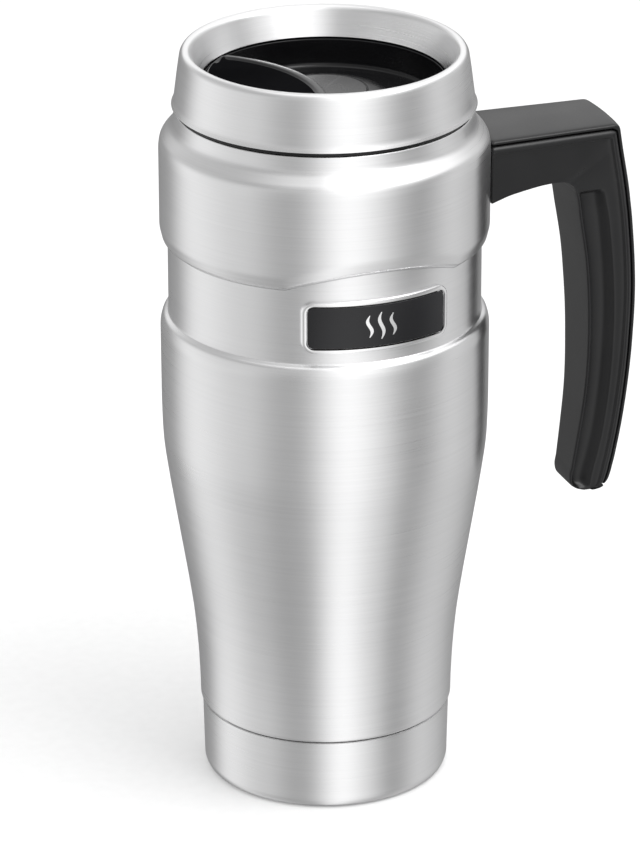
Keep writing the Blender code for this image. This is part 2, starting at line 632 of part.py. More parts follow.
def make_stem_clip():
    outline = [(STEM_R + GAP, 162.9), (3.8, 162.9), (3.8, 162.1), (STEM_R + GAP, 162.1)]
    clip = turned("stem_clip", outline, steps=24)
    return combine(clip, box("clip_gap", (0.0, -0.7, 160.0), (8.0, 0.7, 165.0)))


def make_valve_spring():
    per_coil = 12
    curve = bpy.data.curves.new("valve_spring", "CURVE")
    curve.dimensions = "3D"
    curve.bevel_depth = SPRING_WIRE_R * MM
    curve.bevel_resolution = 1
    curve.use_fill_caps = True
    spline = curve.splines.new("POLY")
    count = SPRING_COILS * per_coil + 1
    spline.points.add(count - 1)
    for k, point in enumerate(spline.points):
        angle = TURN * k / per_coil
        height = SPRING_LOW_Z + (SPRING_HIGH_Z - SPRING_LOW_Z) * k / (count - 1)
        point.co = (SPRING_R * MM * math.cos(angle), SPRING_R * MM * math.sin(angle), height * MM, 1.0)
    return faced_out(baked(add_object("valve_spring", curve, PARTS)))


# ---------------------------------------------------------------- assembly

def centre_on(item, x, z):
    """Moves the object's origin to its joint axis without moving its shape."""
    bpy.context.view_layer.update()
    item.data.transform(item.matrix_world)
    item.data.transform(item.matrix_world.Translation((-x * MM, 0.0, -z * MM)))
    item.matrix_world = item.matrix_world.Translation((x * MM, 0.0, z * MM))


def group_under(parent_name, items, angle=0.0):
    """An empty on Z that carries the items, with its cutters turned along."""
    parent = bpy.data.objects.new(parent_name, None)
    PARTS.objects.link(parent)
    for item in items:
        item.parent = parent
        for modifier in item.modifiers:
            if modifier.type == "BOOLEAN":
                modifier.object.parent = parent
    parent.rotation_euler.z = angle
    return parent


def paint(items, finish):
    for item in items:
        item.data.materials.clear()
        item.data.materials.append(finish)


def build_body(finishes):
    steel = [make_outer_shell(), make_base_cup(), make_badge_plate()]
    inner = [make_inner_liner(), make_shell_bottom(), make_vacuum_seal(), make_handle_bracket()]
    inner += [make_handle_screw(name, x) for name, x in SCREW_X.items()]
    black = [make_handle_frame(), make_handle_cover()]
    inlay, getter = make_badge_inlay(), make_getter()
    paint(steel, finishes["brushed_steel"])
    paint(inner, finishes["plain_steel"])
    paint(black, finishes["black_plastic"])
    paint([inlay], finishes["gloss_black"])
    paint([getter], finishes["getter_metal"])


def build_lid(finishes):
    rim, gasket, lever = make_lid_steel_rim(), make_lid_gasket(), make_lever()
    black = [make_lid_body(), make_lid_base()]
    gloss = [make_valve_cover(), lever]
    plunger = [make_valve_stem(), make_valve_disc()]
    seals = [gasket, make_valve_seal()]
    metal = [make_lever_pin(), make_valve_spring(), make_stem_clip()]
    centre_on(lever, PIVOT_X, PIVOT_Z)
    paint([rim], finishes["brushed_steel"])
    paint(black + plunger, finishes["black_plastic"])
    paint(gloss, finishes["gloss_black"])
    paint(seals, finishes["silicone"])
    paint(metal, finishes["plain_steel"])
    group_under("lid_axis", [rim] + black + gloss + plunger + seals + metal, LID_ANGLE)


def main():
    clear_scene()
    finishes = make_finishes()
    build_body(finishes)
    build_lid(finishes)
    bpy.context.view_layer.update()


main()
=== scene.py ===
import json
import math

import bmesh
import bpy
from mathutils import Matrix, Vector


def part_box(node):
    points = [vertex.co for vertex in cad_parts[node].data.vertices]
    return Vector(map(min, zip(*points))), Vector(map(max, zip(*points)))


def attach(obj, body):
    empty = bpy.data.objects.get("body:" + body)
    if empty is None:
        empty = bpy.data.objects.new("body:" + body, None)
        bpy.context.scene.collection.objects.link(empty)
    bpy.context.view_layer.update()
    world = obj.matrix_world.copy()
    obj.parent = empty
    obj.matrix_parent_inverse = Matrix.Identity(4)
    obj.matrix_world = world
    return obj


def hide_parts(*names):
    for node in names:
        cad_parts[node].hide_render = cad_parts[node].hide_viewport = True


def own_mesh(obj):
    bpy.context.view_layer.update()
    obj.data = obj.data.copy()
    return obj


# An insulated travel mug in brushed steel and black plastic. Lengths are in millimetres unless a name
# says otherwise; the frame's own boxes give the driving ones. Outlines are (radius, height, fillet).

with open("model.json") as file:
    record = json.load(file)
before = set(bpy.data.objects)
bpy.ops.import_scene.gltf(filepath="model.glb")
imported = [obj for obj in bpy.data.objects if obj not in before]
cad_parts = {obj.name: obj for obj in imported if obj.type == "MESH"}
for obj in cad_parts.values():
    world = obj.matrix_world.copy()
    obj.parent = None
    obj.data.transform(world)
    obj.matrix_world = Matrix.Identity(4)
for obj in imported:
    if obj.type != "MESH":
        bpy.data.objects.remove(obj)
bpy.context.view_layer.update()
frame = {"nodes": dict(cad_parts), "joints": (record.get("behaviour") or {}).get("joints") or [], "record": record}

MM = 0.001
TURN = 2 * math.pi
SEGMENTS = 288  # round the large turned pieces
SMALL_SEGMENTS = 144
NODES = frame["nodes"]


def low_of(node, axis):
    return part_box(node)[0][axis] / MM


def high_of(node, axis):
    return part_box(node)[1][axis] / MM


# ---------------------------------------------------------------- dimensions from the frame

SHEET = 0.5
LIP_Z = high_of("lid_steel_rim", 2)
MOUTH_Z = high_of("outer_shell", 2)
MOUTH_LIFT = 0.5  # how far the turned lip of the mouth stands above the shell's wall
BODY_R = -low_of("outer_shell", 0)
COLLAR_R = BODY_R - 0.05
NECK_R = BODY_R - 2.15
NECK_TOP_Z, NECK_FOOT_Z = MOUTH_Z - 34.8, MOUTH_Z - 55.2
SHELL_FOOT_Z = low_of("outer_shell", 2)
SEAM_Z = high_of("base_cup", 2) + 0.4
CUP_R = -low_of("base_cup", 0)
ARCH_RISE, ARCH_HALF = 4.25, math.radians(34.3)
ARCH_FADE_LOW, ARCH_FADE_HIGH = NECK_FOOT_Z + 6, MOUTH_Z - 12

BADGE_HALF_X = high_of("badge_plate", 0)
BADGE_LOW_Z, BADGE_HIGH_Z = low_of("badge_plate", 2), high_of("badge_plate", 2)
BADGE_R = -low_of("badge_plate", 1)

LEVER_JOINT = next(j for j in frame["joints"] if j["name"] == "lever_flip")
LID_ANGLE = math.atan2(-LEVER_JOINT["axis"][0], LEVER_JOINT["axis"][1])
PIVOT_X = -math.hypot(*LEVER_JOINT["pos_m"][:2]) / MM
PIVOT_Z = LEVER_JOINT["pos_m"][2] / MM
LEVER_LOW_Z, LEVER_TOP_Z = high_of("lever", 2) - 1.5, high_of("lever", 2)
COVER_FOOT_Z = low_of("valve_cover", 2)
DISH_R, DISH_TOP_Z, DISH_FLOOR_Z = 31.35, LIP_Z - 8.15, LIP_Z - 16.0
PIN_R = (high_of("lever_pin", 2) - low_of("lever_pin", 2)) / 2

HANDLE_TOP_Z = high_of("handle_cover", 2)
HANDLE_END_X = high_of("handle_cover", 0)
HANDLE_SKIN = 1.5
HANDLE_LOW_Z = low_of("handle_frame", 2)

THREAD_LEAD, THREAD_TURNS = 12.0, 0.6
LINER_THREAD_Z, LID_THREAD_Z = MOUTH_Z - 11.2, MOUTH_Z - 12.8
THREAD_ANGLE = math.radians(2.5)


# ---------------------------------------------------------------- shape tools

def rounded(outline, count=5, closed=True):
    """The outline with each corner of (x, y, fillet) rounded by that much."""
    made = []
    total = len(outline)
    for i, corner in enumerate(outline):
        x, y = corner[:2]
        fillet = corner[2] if len(corner) > 2 else 0.0
        if fillet <= 0 or (not closed and i in (0, total - 1)):
            made.append((x, y))
            continue
        before = Vector(outline[i - 1][:2]) - Vector((x, y))
        after = Vector(outline[(i + 1) % total][:2]) - Vector((x, y))
        reach = min(fillet, before.length * 0.48, after.length * 0.48)
        a = before.normalized() * reach
        b = after.normalized() * reach
        for k in range(count + 1):
            t = k / count
            p = Vector((x, y)) + a * (1 - t) ** 2 + b * t * t
            made.append((p.x, p.y))
    return made


def smooth_line(points, per_span=8):
    """A Catmull-Rom curve through the points, ends included."""
    line = []
    for i in range(len(points) - 1):
        a, b, c = points[max(i - 1, 0)], points[i], points[i + 1]
        d = points[min(i + 2, len(points) - 1)]
        for k in range(per_span):
            t = k / per_span
            line.append(tuple(
                0.5 * (2 * q + (r - p) * t + (2 * p - 5 * q + 4 * r - s) * t * t
                       + (3 * q - p - 3 * r + s) * t ** 3)
                for p, q, r, s in zip(a, b, c, d)))
    return line + [tuple(points[-1])]


def arc(centre, radii, start_deg, end_deg, count):
    steps = [math.radians(start_deg + (end_deg - start_deg) * k / count) for k in range(count + 1)]
    return [(centre[0] + radii[0] * math.cos(a), centre[1] + radii[1] * math.sin(a)) for a in steps]


def resampled(line, count):
    """The line again with count + 1 points at equal distances."""
    lengths = [0.0]
    for a, b in zip(line, line[1:]):
        lengths.append(lengths[-1] + math.dist(a, b))
    made, i = [], 0
    for k in range(count + 1):
        goal = lengths[-1] * k / count
        while i < len(line) - 2 and lengths[i + 1] < goal:
            i += 1
        t = (goal - lengths[i]) / max(lengths[i + 1] - lengths[i], 1e-9)
        made.append(tuple(p + (q - p) * t for p, q in zip(line[i], line[i + 1])))
    return made


def offset_line(line, distance):
    """The open line moved to its right-hand side by the distance."""
    moved = []
    for i, (x, z) in enumerate(line):
        ax, az = line[max(i - 1, 0)]
        bx, bz = line[min(i + 1, len(line) - 1)]
        length = math.hypot(bx - ax, bz - az)
        moved.append((x + distance * (bz - az) / length, z - distance * (bx - ax) / length))
    return moved


def fade(value, start, end):
    """0 at start, 1 at end, smooth between."""
    t = min(1.0, max(0.0, (value - start) / (end - start)))
    return t * t * (3 - 2 * t)


def finished(name, work):
    """The bmesh as a new smooth-shaded object with its faces turned outwards."""
    bmesh.ops.recalc_face_normals(work, faces=work.faces)
    mesh = bpy.data.meshes.new(name)
    work.to_mesh(mesh)
    work.free()
    mesh.shade_smooth()
    mesh.set_sharp_from_angle(angle=math.radians(35))
    made = bpy.data.objects.new(name, mesh)
    bpy.context.scene.collection.objects.link(made)
    return made


def bridge(work, rings, cyclic_rings=False):
    """Quads between each ring of vertices and the next; a ring of one vertex is a point."""
    pairs = list(zip(rings, rings[1:]))
    if cyclic_rings:
        pairs.append((rings[-1], rings[0]))
    for a, b in pairs:
        count = max(len(a), len(b))
        for k in range(count if count > 1 else 0):
            n = (k + 1) % count
            corners = [a[k % len(a)], a[n % len(a)], b[n % len(b)], b[k % len(b)]]
            corners = [v for j, v in enumerate(corners) if v not in corners[:j]]
            if len(corners) > 2:
                work.faces.new(corners)


def held(outline, closed, margin=0.25):
    """The outline with a point close to each end of its long stretches, so that they shade as straight."""
    made = []
    ends = outline[1:] + outline[:1] if closed else outline[1:]
    for a, b in zip(outline, ends):
        length = math.dist(a, b)
        made.append(a)
        if length > 4 * margin:
            for share in (margin / length, 1 - margin / length):
                made.append((a[0] + (b[0] - a[0]) * share, a[1] + (b[1] - a[1]) * share))
    return made if closed else made + outline[-1:]


def lathe(name, outline, segments=SEGMENTS, shape=None, closed=True):
    """Turns an outline into a solid. shape(radius, angle, height) returns a moved radius and height."""
    work = bmesh.new()
    rings = []
    for r, z in held(outline, closed):
        ring = []
        for k in range(segments if r > 1e-6 else 1):
            angle = TURN * k / segments
            radius, height = shape(r, angle, z) if shape else (r, z)
            ring.append(work.verts.new((radius * MM * math.cos(angle), radius * MM * math.sin(angle),
                                        height * MM)))
        rings.append(ring)
    bridge(work, rings, closed)
    return finished(name, work)


def sheet(outer, thickness=SHEET):
    """Closed outline of a sheet whose outer face is given, top to bottom."""
    plain = [p[:2] for p in outer]
    return plain, offset_line(plain, thickness)[::-1]


def loft(name, sections):
    """A solid through closed sections of equally many points, capped at both ends."""
    work = bmesh.new()
    rings = [[work.verts.new(Vector(p) * MM) for p in section] for section in sections]
    bridge(work, rings)
    work.faces.new(rings[0])
    work.faces.new(rings[-1])
    return finished(name, work)


def applied(item):
    """Turns the object's modifiers into its own mesh."""
    bpy.context.view_layer.update()
    graph = bpy.context.evaluated_depsgraph_get()
    mesh = bpy.data.meshes.new_from_object(item.evaluated_get(graph))
    item.modifiers.clear()
    item.data = mesh
    return item


def combine(item, other, operation="DIFFERENCE"):
    """Cuts item with other, or joins them; other is used up."""
    modifier = item.modifiers.new("Combine", "BOOLEAN")
    modifier.operation = operation
    modifier.object = other
    modifier.solver = "EXACT"
    applied(item)
    bpy.data.objects.remove(other)
    return item


def sharpened(item, degrees=32):
    """Smooth shading that keeps the edges steeper than the angle."""
    item.data.shade_smooth()
    item.data.set_sharp_from_angle(angle=math.radians(degrees))
    return item


def softened(item, width, segments, degrees):
    bevel = item.modifiers.new("Edges", "BEVEL")
    bevel.width = width * MM
    bevel.segments = segments
    bevel.limit_method = "ANGLE"
    bevel.angle_limit = math.radians(degrees)
    bevel.use_clamp_overlap = True
    bevel.harden_normals = False
    return applied(item)


def block(name, low, high):
    work = bmesh.new()
    bmesh.ops.create_cube(work, size=1.0)
    for vertex in work.verts:
        vertex.co = Vector((high[i] if vertex.co[i] > 0 else low[i]) * MM for i in range(3))
    return finished(name, work)


def rod(name, radius, x, z, low_y, high_y, segments=48):
    """A cylinder along Y."""
    ends = [[(x + radius * math.cos(TURN * k / segments), y, z + radius * math.sin(TURN * k / segments))
             for k in range(segments)] for y in (low_y, high_y)]
    return loft(name, ends)


def turn_with_lid(item):
    """From the lid's own directions, with its lever towards -X, to where the closed lid stops."""
    item.data.transform(Matrix.Rotation(LID_ANGLE, 4, "Z"))
    return item


# ---------------------------------------------------------------- body

def arched(r, angle, z):
    """Lifts the collar's lower edge and the crease under it into a low arch over the badge."""
    from_front = (angle + math.pi / 2 + math.pi) % TURN - math.pi
    if abs(from_front) >= ARCH_HALF:
        return r, z
    lift = ARCH_RISE * (1 - (from_front / ARCH_HALF) ** 2)
    share = fade(z, ARCH_FADE_LOW, NECK_TOP_Z) * (1 - fade(z, NECK_TOP_Z + 5, ARCH_FADE_HIGH))
    return r, z + lift * share


def rows(r, high, low, count):
    """Points down a straight wall, so that it can be shaped."""
    return [(r, high + (low - high) * k / count, 0.0) for k in range(1, count)]


def shell_outer():
    mouth = [(37.4, MOUTH_Z + MOUTH_LIFT, 0.0), (38.9, MOUTH_Z + MOUTH_LIFT, 0.35)]
    shoulder = [(39.25, MOUTH_Z - 1.2, 1.2), (39.75, MOUTH_Z - 3.6, 2.2), (42.9, MOUTH_Z - 7.2, 2.6),
                (COLLAR_R, MOUTH_Z - 9.6, 2.0)]
    collar = rows(COLLAR_R, MOUTH_Z - 10, NECK_TOP_Z + 3.7, 14)
    groove_r = NECK_R - 0.3
    edge = [(COLLAR_R, NECK_TOP_Z + 3.6, 2.2), (42.5, NECK_TOP_Z + 0.5, 0.6),
            (groove_r, NECK_TOP_Z + 0.1, 0.05), (groove_r, NECK_TOP_Z - 0.25, 0.05),
            (NECK_R, NECK_TOP_Z - 0.45, 0.1)]
    neck = rows(NECK_R, NECK_TOP_Z - 0.3, NECK_FOOT_Z + 0.5, 16)
    step = [(NECK_R, NECK_FOOT_Z, 0.3), (42.6, NECK_FOOT_Z - 0.75, 1.3), (BODY_R, NECK_FOOT_Z - 3.2, 2.2)]
    curve = smooth_line([(BODY_R, 126.0), (BODY_R - 0.03, 115.0), (BODY_R - 0.1, 105.0), (42.8, 95.0),
                         (41.5, 85.0), (39.93, 75.0), (38.32, 65.0), (36.72, 55.0), (35.32, 45.0),
                         (34.4, 35.0), (33.93, 26.0), (33.8, SEAM_Z + 1.4)], 6)
    taper = [(r, z, 0.0) for r, z in curve]
    foot = [(33.75, SEAM_Z + 0.35, 0.55), (32.6, SEAM_Z, 0.3), (32.3, SEAM_Z - 2, 0.0),
            (32.3, SHELL_FOOT_Z, 0.0)]
    return mouth + shoulder + collar + edge + neck + step + taper + foot


def make_outer_shell():
    outer, inner = sheet(shell_outer())
    outline = rounded(shell_outer(), closed=False) + inner
    return lathe("outer_shell_fine", outline, shape=arched)


def ridge(first_z, height, inwards):
    """A wall shape with two helical ridges that rise anticlockwise and run out at their ends."""
    def shaped(r, angle, z):
        rise = 0.0
        for start in (0.0, math.pi):
            around = (angle - THREAD_ANGLE - start) % TURN
            share = around / (TURN * THREAD_TURNS)
            if share > 1:
                continue
            centre = first_z + THREAD_LEAD * around / TURN
            ends = fade(share, 0.0, 0.08) * (1 - fade(share, 0.92, 1.0))
            rise = max(rise, ends * (1 - fade(abs(z - centre), 0.5, 1.15)))
        return r + (-height if inwards else height) * rise, z
    return shaped


def make_inner_liner():
    mouth_r, wall_r = 36.2, 32.6
    top = MOUTH_Z - 0.2
    outside = [(mouth_r + SHEET, top, 0.0), (mouth_r + SHEET, 171.5, 1.5), (wall_r + SHEET, 165.2, 1.5),
               (wall_r + SHEET, 70.0, 8.0), (32.4, 60.0, 6.0), (31.0, 45.0, 6.0), (30.2, 27.0, 8.0),
               (29.4, 12.0, 12.0), (0.0, 12.0, 0.0)]
    floor = low_of("inner_liner", 2) + SHEET
    inside = [(0.0, floor, 0.0), (28.9, floor, 12.0), (29.7, 27.0, 8.0), (30.5, 45.0, 6.0), (31.9, 60.0, 6.0),
              (wall_r, 70.0, 8.0), (wall_r, 165.2, 1.5), (mouth_r, 171.5, 1.5)]
    inside += [(mouth_r, 172.2 + (top - 172.2) * k / 40, 0.0) for k in range(41)]
    thread = ridge(LINER_THREAD_Z, 1.75, True)

    def shaped(r, angle, z):
        return thread(r, angle, z) if abs(r - mouth_r) < 0.01 and 172 < z < top - 0.2 else (r, z)
    return lathe("inner_liner_fine", rounded(outside + inside), shape=shaped)


def make_base_cup():
    panel_r, ring_in_r, ring_out_r = 24.0, 27.6, 31.0
    outer = [(CUP_R, SEAM_Z - 0.4, 0.0), (CUP_R - 0.02, SEAM_Z - 1.0, 0.0), (32.85, 1.9, 1.4),
             (32.2, 0.45, 0.8), (ring_out_r, 0.0, 0.6), (ring_in_r, 0.0, 0.4), (ring_in_r - 0.7, 0.6, 0.3),
             (panel_r + 0.7, 0.6, 0.3), (panel_r, 0.0, 0.3), (0.0, 0.0, 0.0)]
    inner = sheet(outer)[1]
    inner[0] = (0.0, SHEET)
    return lathe("base_cup_fine", rounded(outer, closed=False) + inner)


# ---------------------------------------------------------------- badge

def rounded_rectangle(half_x, low, high, radius, count=8):
    x, points = half_x - radius, []
    for centre, start in (((x, high - radius), 90), ((x, low + radius), 0), ((-x, low + radius), -90),
                          ((-x, high - radius), -180)):
        points += arc(centre, (radius, radius), start, start - 90, count)
    return points


def on_neck(x, z, r):
    """A point above the neck's surface at the front, x seen from the front."""
    angle = math.asin(x / r)
    return (r * math.sin(angle), -r * math.cos(angle), z)


def badge_ring(inset):
    radius = 3.0 - inset
    points = rounded_rectangle(BADGE_HALF_X - inset, BADGE_LOW_Z + inset, BADGE_HIGH_Z - inset, radius)
    dense = []
    for a, b in zip(points, points[1:] + points[:1]):
        parts = max(1, round(math.dist(a, b) / 0.8))
        dense += [(a[0] + (b[0] - a[0]) * k / parts, a[1] + (b[1] - a[1]) * k / parts) for k in range(parts)]
    return dense


def badge_rings(profile):
    """Rings of (inset, radius from Z), which line up point for point."""
    return [[on_neck(x, z, r) for x, z in badge_ring(inset)] for inset, r in profile]


def make_badge_plate():
    """The bright raised border, with the pocket's floor behind the inlay."""
    low_r, high_r, rim = NECK_R + 0.05, BADGE_R, 1.1
    profile = [(0.0, low_r), (0.0, high_r - 0.35), (0.12, high_r - 0.1), (0.35, high_r),
               (rim - 0.3, high_r), (rim - 0.1, high_r - 0.06), (rim, high_r - 0.25), (rim, low_r)]
    work = bmesh.new()
    rings = [[work.verts.new(Vector(p) * MM) for p in ring] for ring in badge_rings(profile)]
    bridge(work, rings, True)
    return finished("badge_plate_fine", work)


def strips_solid(name, outline, low_r, high_r, edge, step=0.8):
    """A flat outline (x, z) as a plate bent round the neck, cut into upright strips so that it bends."""
    work = bmesh.new()
    front = work.faces.new([work.verts.new((x, 0.0, z)) for x, z in outline])
    solid = bmesh.ops.extrude_face_region(work, geom=[front])
    for item in solid["geom"]:
        if isinstance(item, bmesh.types.BMVert):
            item.co.y = -1.0
    bmesh.ops.recalc_face_normals(work, faces=work.faces)
    xs = [x for x, z in outline]
    x = min(xs) + step
    while x < max(xs) - step / 4:
        everything = work.verts[:] + work.edges[:] + work.faces[:]
        bmesh.ops.bisect_plane(work, geom=everything, plane_co=(x, 0, 0), plane_no=(1, 0, 0), dist=1e-5)
        x += step
    for vertex in work.verts:
        r = high_r if vertex.co.y < -0.5 else low_r
        vertex.co = Vector(on_neck(vertex.co.x, vertex.co.z, r)) * MM
    return softened(sharpened(finished(name, work)), edge, 2, 50)


def make_badge_inlay():
    ring = badge_ring(1.4)
    return strips_solid("badge_inlay_fine", ring, BADGE_R - 0.32, BADGE_R - 0.02, 0.08)


def wave_outline(middle_x, low, high, half_width, sway):
    """One wisp of steam: a slim band that sways once and narrows to its ends."""
    right, left = [], []
    count = 24
    for k in range(count + 1):
        t = k / count
        x = middle_x + sway * math.sin(TURN * t)
        wide = half_width * (0.25 + 0.75 * math.sin(math.pi * t))
        z = low + (high - low) * t
        right.append((x + wide, z))
        left.append((x - wide, z))
    return right + left[::-1]


def make_badge_marks():
    """A plain steam sign of three wisps in the middle of the badge."""
    middle = (BADGE_LOW_Z + BADGE_HIGH_Z) / 2
    made = []
    for number, (x, half) in enumerate(((-3.2, 3.0), (0.0, 3.7), (3.2, 3.0))):
        outline = wave_outline(x, middle - half, middle + half, 0.55, 0.6)
        name = f"badge_wisp_{number + 1}"
        made.append(strips_solid(name, outline, BADGE_R - 0.1, BADGE_R + 0.08, 0.03, 0.4))
    return made


# ---------------------------------------------------------------- handle

HANDLE_START_X = COLLAR_R + 0.12
FRAME_SHELF = HANDLE_SKIN + 0.3
ARM_CORNER_R = 1.9
EDGE_LOSS = 0.75  # what the rounded edge takes off the outline
CHANNEL_TOP_Z = 158.4
CROWN = 0.5  # how far the middle of the outer face stands above its edges
COVER_END = 0.62  # share of the foot that the cover reaches down
COVER_INSET = 0.5  # how much narrower than the frame the cover is, on each side


def handle_outer():
    """Side view of the outer face in four stretches: arm, corner, grip and foot."""
    top, r = HANDLE_TOP_Z, ARM_CORNER_R
    arm = [(HANDLE_START_X, top), (68.0, top)]
    corner = [(68.0, top)] + arc((78.4 - r, top - r), (r, r), 90, 10, 12)
    corner += smooth_line([(78.75, 172.2), (79.15, 169.9), (79.9, 166.2), (81.5, CHANNEL_TOP_Z)])
    grip = smooth_line([(81.5, CHANNEL_TOP_Z), (82.4, 153.9), (83.2, 148.0), (84.25, 136.4),
                        (HANDLE_END_X, 125.0), (84.47, 113.0), (83.85, 101.2), (82.7, 89.4),
                        (81.1, 79.0), (80.5, 76.1)])
    foot = smooth_line([(80.5, 76.1), (79.95, 73.6), (79.1, 71.4), (77.5, 69.9), (75.7, 69.35),
                        (74.6, HANDLE_LOW_Z)])
    full = [arm, corner, grip, foot]
    return [[(x + EDGE_LOSS * fade(x, 67.0, 76.0), z) for x, z in line] for line in full]


def handle_inner():
    """The finger side in the same stretches."""
    arm = smooth_line([(HANDLE_START_X, 158.6), (46.0, 159.5), (49.0, 160.5), (55.0, 161.6), (60.0, 161.95)])
    corner = smooth_line([(60.0, 161.95), (63.2, 161.6), (65.5, 160.3), (66.9, CHANNEL_TOP_Z - 0.4)])
    grip = smooth_line([(66.9, CHANNEL_TOP_Z - 0.4), (67.9, 154.0), (68.6, 149.5), (70.4, 138.5),
                        (71.3, 129.0), (71.85, 118.0), (71.85, 107.0), (71.35, 97.0), (70.2, 87.0), (68.8, 76.5)])
    foot = smooth_line([(68.8, 76.5), (68.35, 74.0), (68.8, 71.8), (70.4, 70.4), (72.2, 69.6),
                        (73.4, HANDLE_LOW_Z)])
    return [arm, corner, grip, foot]


def along(line, value):
    """The second number of the pairs in line, at a value of the first."""
    if value <= line[0][0]:
        return line[0][1]
    for (a, p), (b, q) in zip(line, line[1:]):
        if value <= b:
            return p + (q - p) * (value - a) / (b - a)
    return line[-1][1]


def half_width_at(x, z):
    """Half the handle's width: widest at the collar, narrow at the foot."""
    arm = 13.1 - 0.05 * (x - HANDLE_START_X)
    line = [(HANDLE_LOW_Z, 5.7), (76.0, 6.0), (90.0, 6.9), (110.0, 8.4), (130.0, 9.3), (153.0, 9.8),
            (160.0, 11.0), (166.0, arm)]
    return along(line, z)


def round_collar(x, y):
    """Bends the handle's end so that it follows the collar from side to side."""
    back = math.sqrt(HANDLE_START_X ** 2 - y * y) - HANDLE_START_X
    return x + back * (1 - fade(x, HANDLE_START_X, HANDLE_START_X + 12))


def clear_of(line, start, unit, length, distance):
    """How far to go from start along unit until the line of points is that far away."""
    low, high = 0.0, length
    for step in range(11):
        middle = (low + high) / 2
        spot = start + unit * middle
        nearest = min((spot - p).length_squared for p in line)
        low, high = (middle, high) if nearest < distance ** 2 else (low, middle)
    return high


def stations():
    """Pairs of points on the outer and the inner face all along the handle, each with its share of the
    foot and how much longer a depth is along the pair than square to either face."""
    counts = (26, 56, 110, 40)
    made = []
    for part, (outer, inner, count) in enumerate(zip(handle_outer(), handle_inner(), counts)):
        pairs = list(zip(resampled(outer, count), resampled(inner, count)))
        foot = [k / count if part == 3 else 0.0 for k in range(count + 1)]
        first = 1 if part else 0
        made += [(Vector(o), Vector(i), f) for (o, i), f in list(zip(pairs, foot))[first:]]
    full = []
    for k, (outer, inner, foot) in enumerate(made):
        close = made[max(k - 22, 0):k + 23]
        way = inner - outer
        unit = way.normalized()
        if foot:
            slants = (1.0, 1.0)
        else:
            slants = (clear_of([s[0] for s in close], outer, unit, way.length, 3.2) / 3.2,
                      clear_of([s[1] for s in close], inner, -unit, way.length, 1.5) / 1.5)
        full.append((outer, inner, foot, slants))
    return full


STATIONS = stations()


def frame_section(wide, depth, band, channel, lift):
    """Half of the frame's section as (distance from the middle, depth under the outer face): a ledge
    under the cover, a flat band, the channel and the edge on the finger side. Lift brings the ledge up
    to the outer face where there is no cover."""
    shelf = FRAME_SHELF
    side = wide - 0.35
    floor = side - 2.5 * channel
    ledge = [(0.0, shelf), (wide * 0.5, shelf), (wide - 2.2, shelf), (wide - 1.7, shelf - 0.03),
             (wide - 1.35, 1.52), (wide - 1.1, 1.4), (wide - 0.53, 1.51), (wide - 0.04, 1.84),
             (wide + 0.29, 2.33), (wide + 0.4, 2.85), (wide + 0.2, 3.3), (side, 3.6)]
    ledge = [(y, max(d - lift, 0.0)) for y, d in ledge]
    flat = [(side, (3.6 + band) / 2), (side, band - 0.3), (side - 0.12 * channel, band)]
    groove = [(side - 0.55 * channel, band + 0.5), (side - 1.3 * channel, band + 1.2),
              (floor + 0.45 * channel, band + 2.0), (floor + 0.05 * channel, band + 3.0),
              (floor, depth - 2.2), (floor + 0.2 * channel, depth - 1.6), (floor + 1.0 * channel, depth - 1.15),
              (side - 0.3 * channel, depth - 0.95)]
    edge = [(side + 0.2 * channel, depth - 0.75), (side + 0.28 * channel, depth - 0.45),
            (side, depth - 0.12), (side - 0.5, depth), (wide * 0.5, depth + 0.03), (0.0, depth + 0.05)]
    return ledge + flat + groove + edge


def placed_section(half, station, squeeze, depth):
    """The section's points in space. Depth is measured from the outer face near it, from the finger
    side near that, and in proportion at the foot."""
    outer, inner, foot, (outer_slant, inner_slant) = station
    length = (inner - outer).length
    share_foot = fade(foot, 0.0, 0.3)
    half_y = max(y for y, d in half)

    def place(y, d):
        near_inner = fade(d, 3.6, depth - 1.6)
        reach = d * outer_slant * (1 - near_inner) + (length - (depth - d) * inner_slant) * near_inner
        reach = reach * (1 - share_foot) + length * d / depth * share_foot
        reach -= CROWN * (1 - (y / squeeze / half_y) ** 2) * (1 - near_inner) * (1 - foot)
        spot = outer.lerp(inner, reach / length)
        return (round_collar(spot.x, y), y, spot.y)
    right = [place(y * squeeze, d) for y, d in half]
    left = [place(-y * squeeze, d) for y, d in reversed(half[1:-1])]
    return right + left


def smoothed_loft(name, sections):
    item = loft(name, sections)
    smooth = item.modifiers.new("Smooth", "SUBSURF")
    smooth.levels = smooth.render_levels = 1
    return applied(item)


def with_depths(kept):
    """Each station with the handle's depth there. The foot keeps the grip's last depth."""
    depth = None
    for station in kept:
        outer, inner, foot, _ = station
        if foot == 0.0:
            depth = math.dist(outer, inner)
        yield station, depth


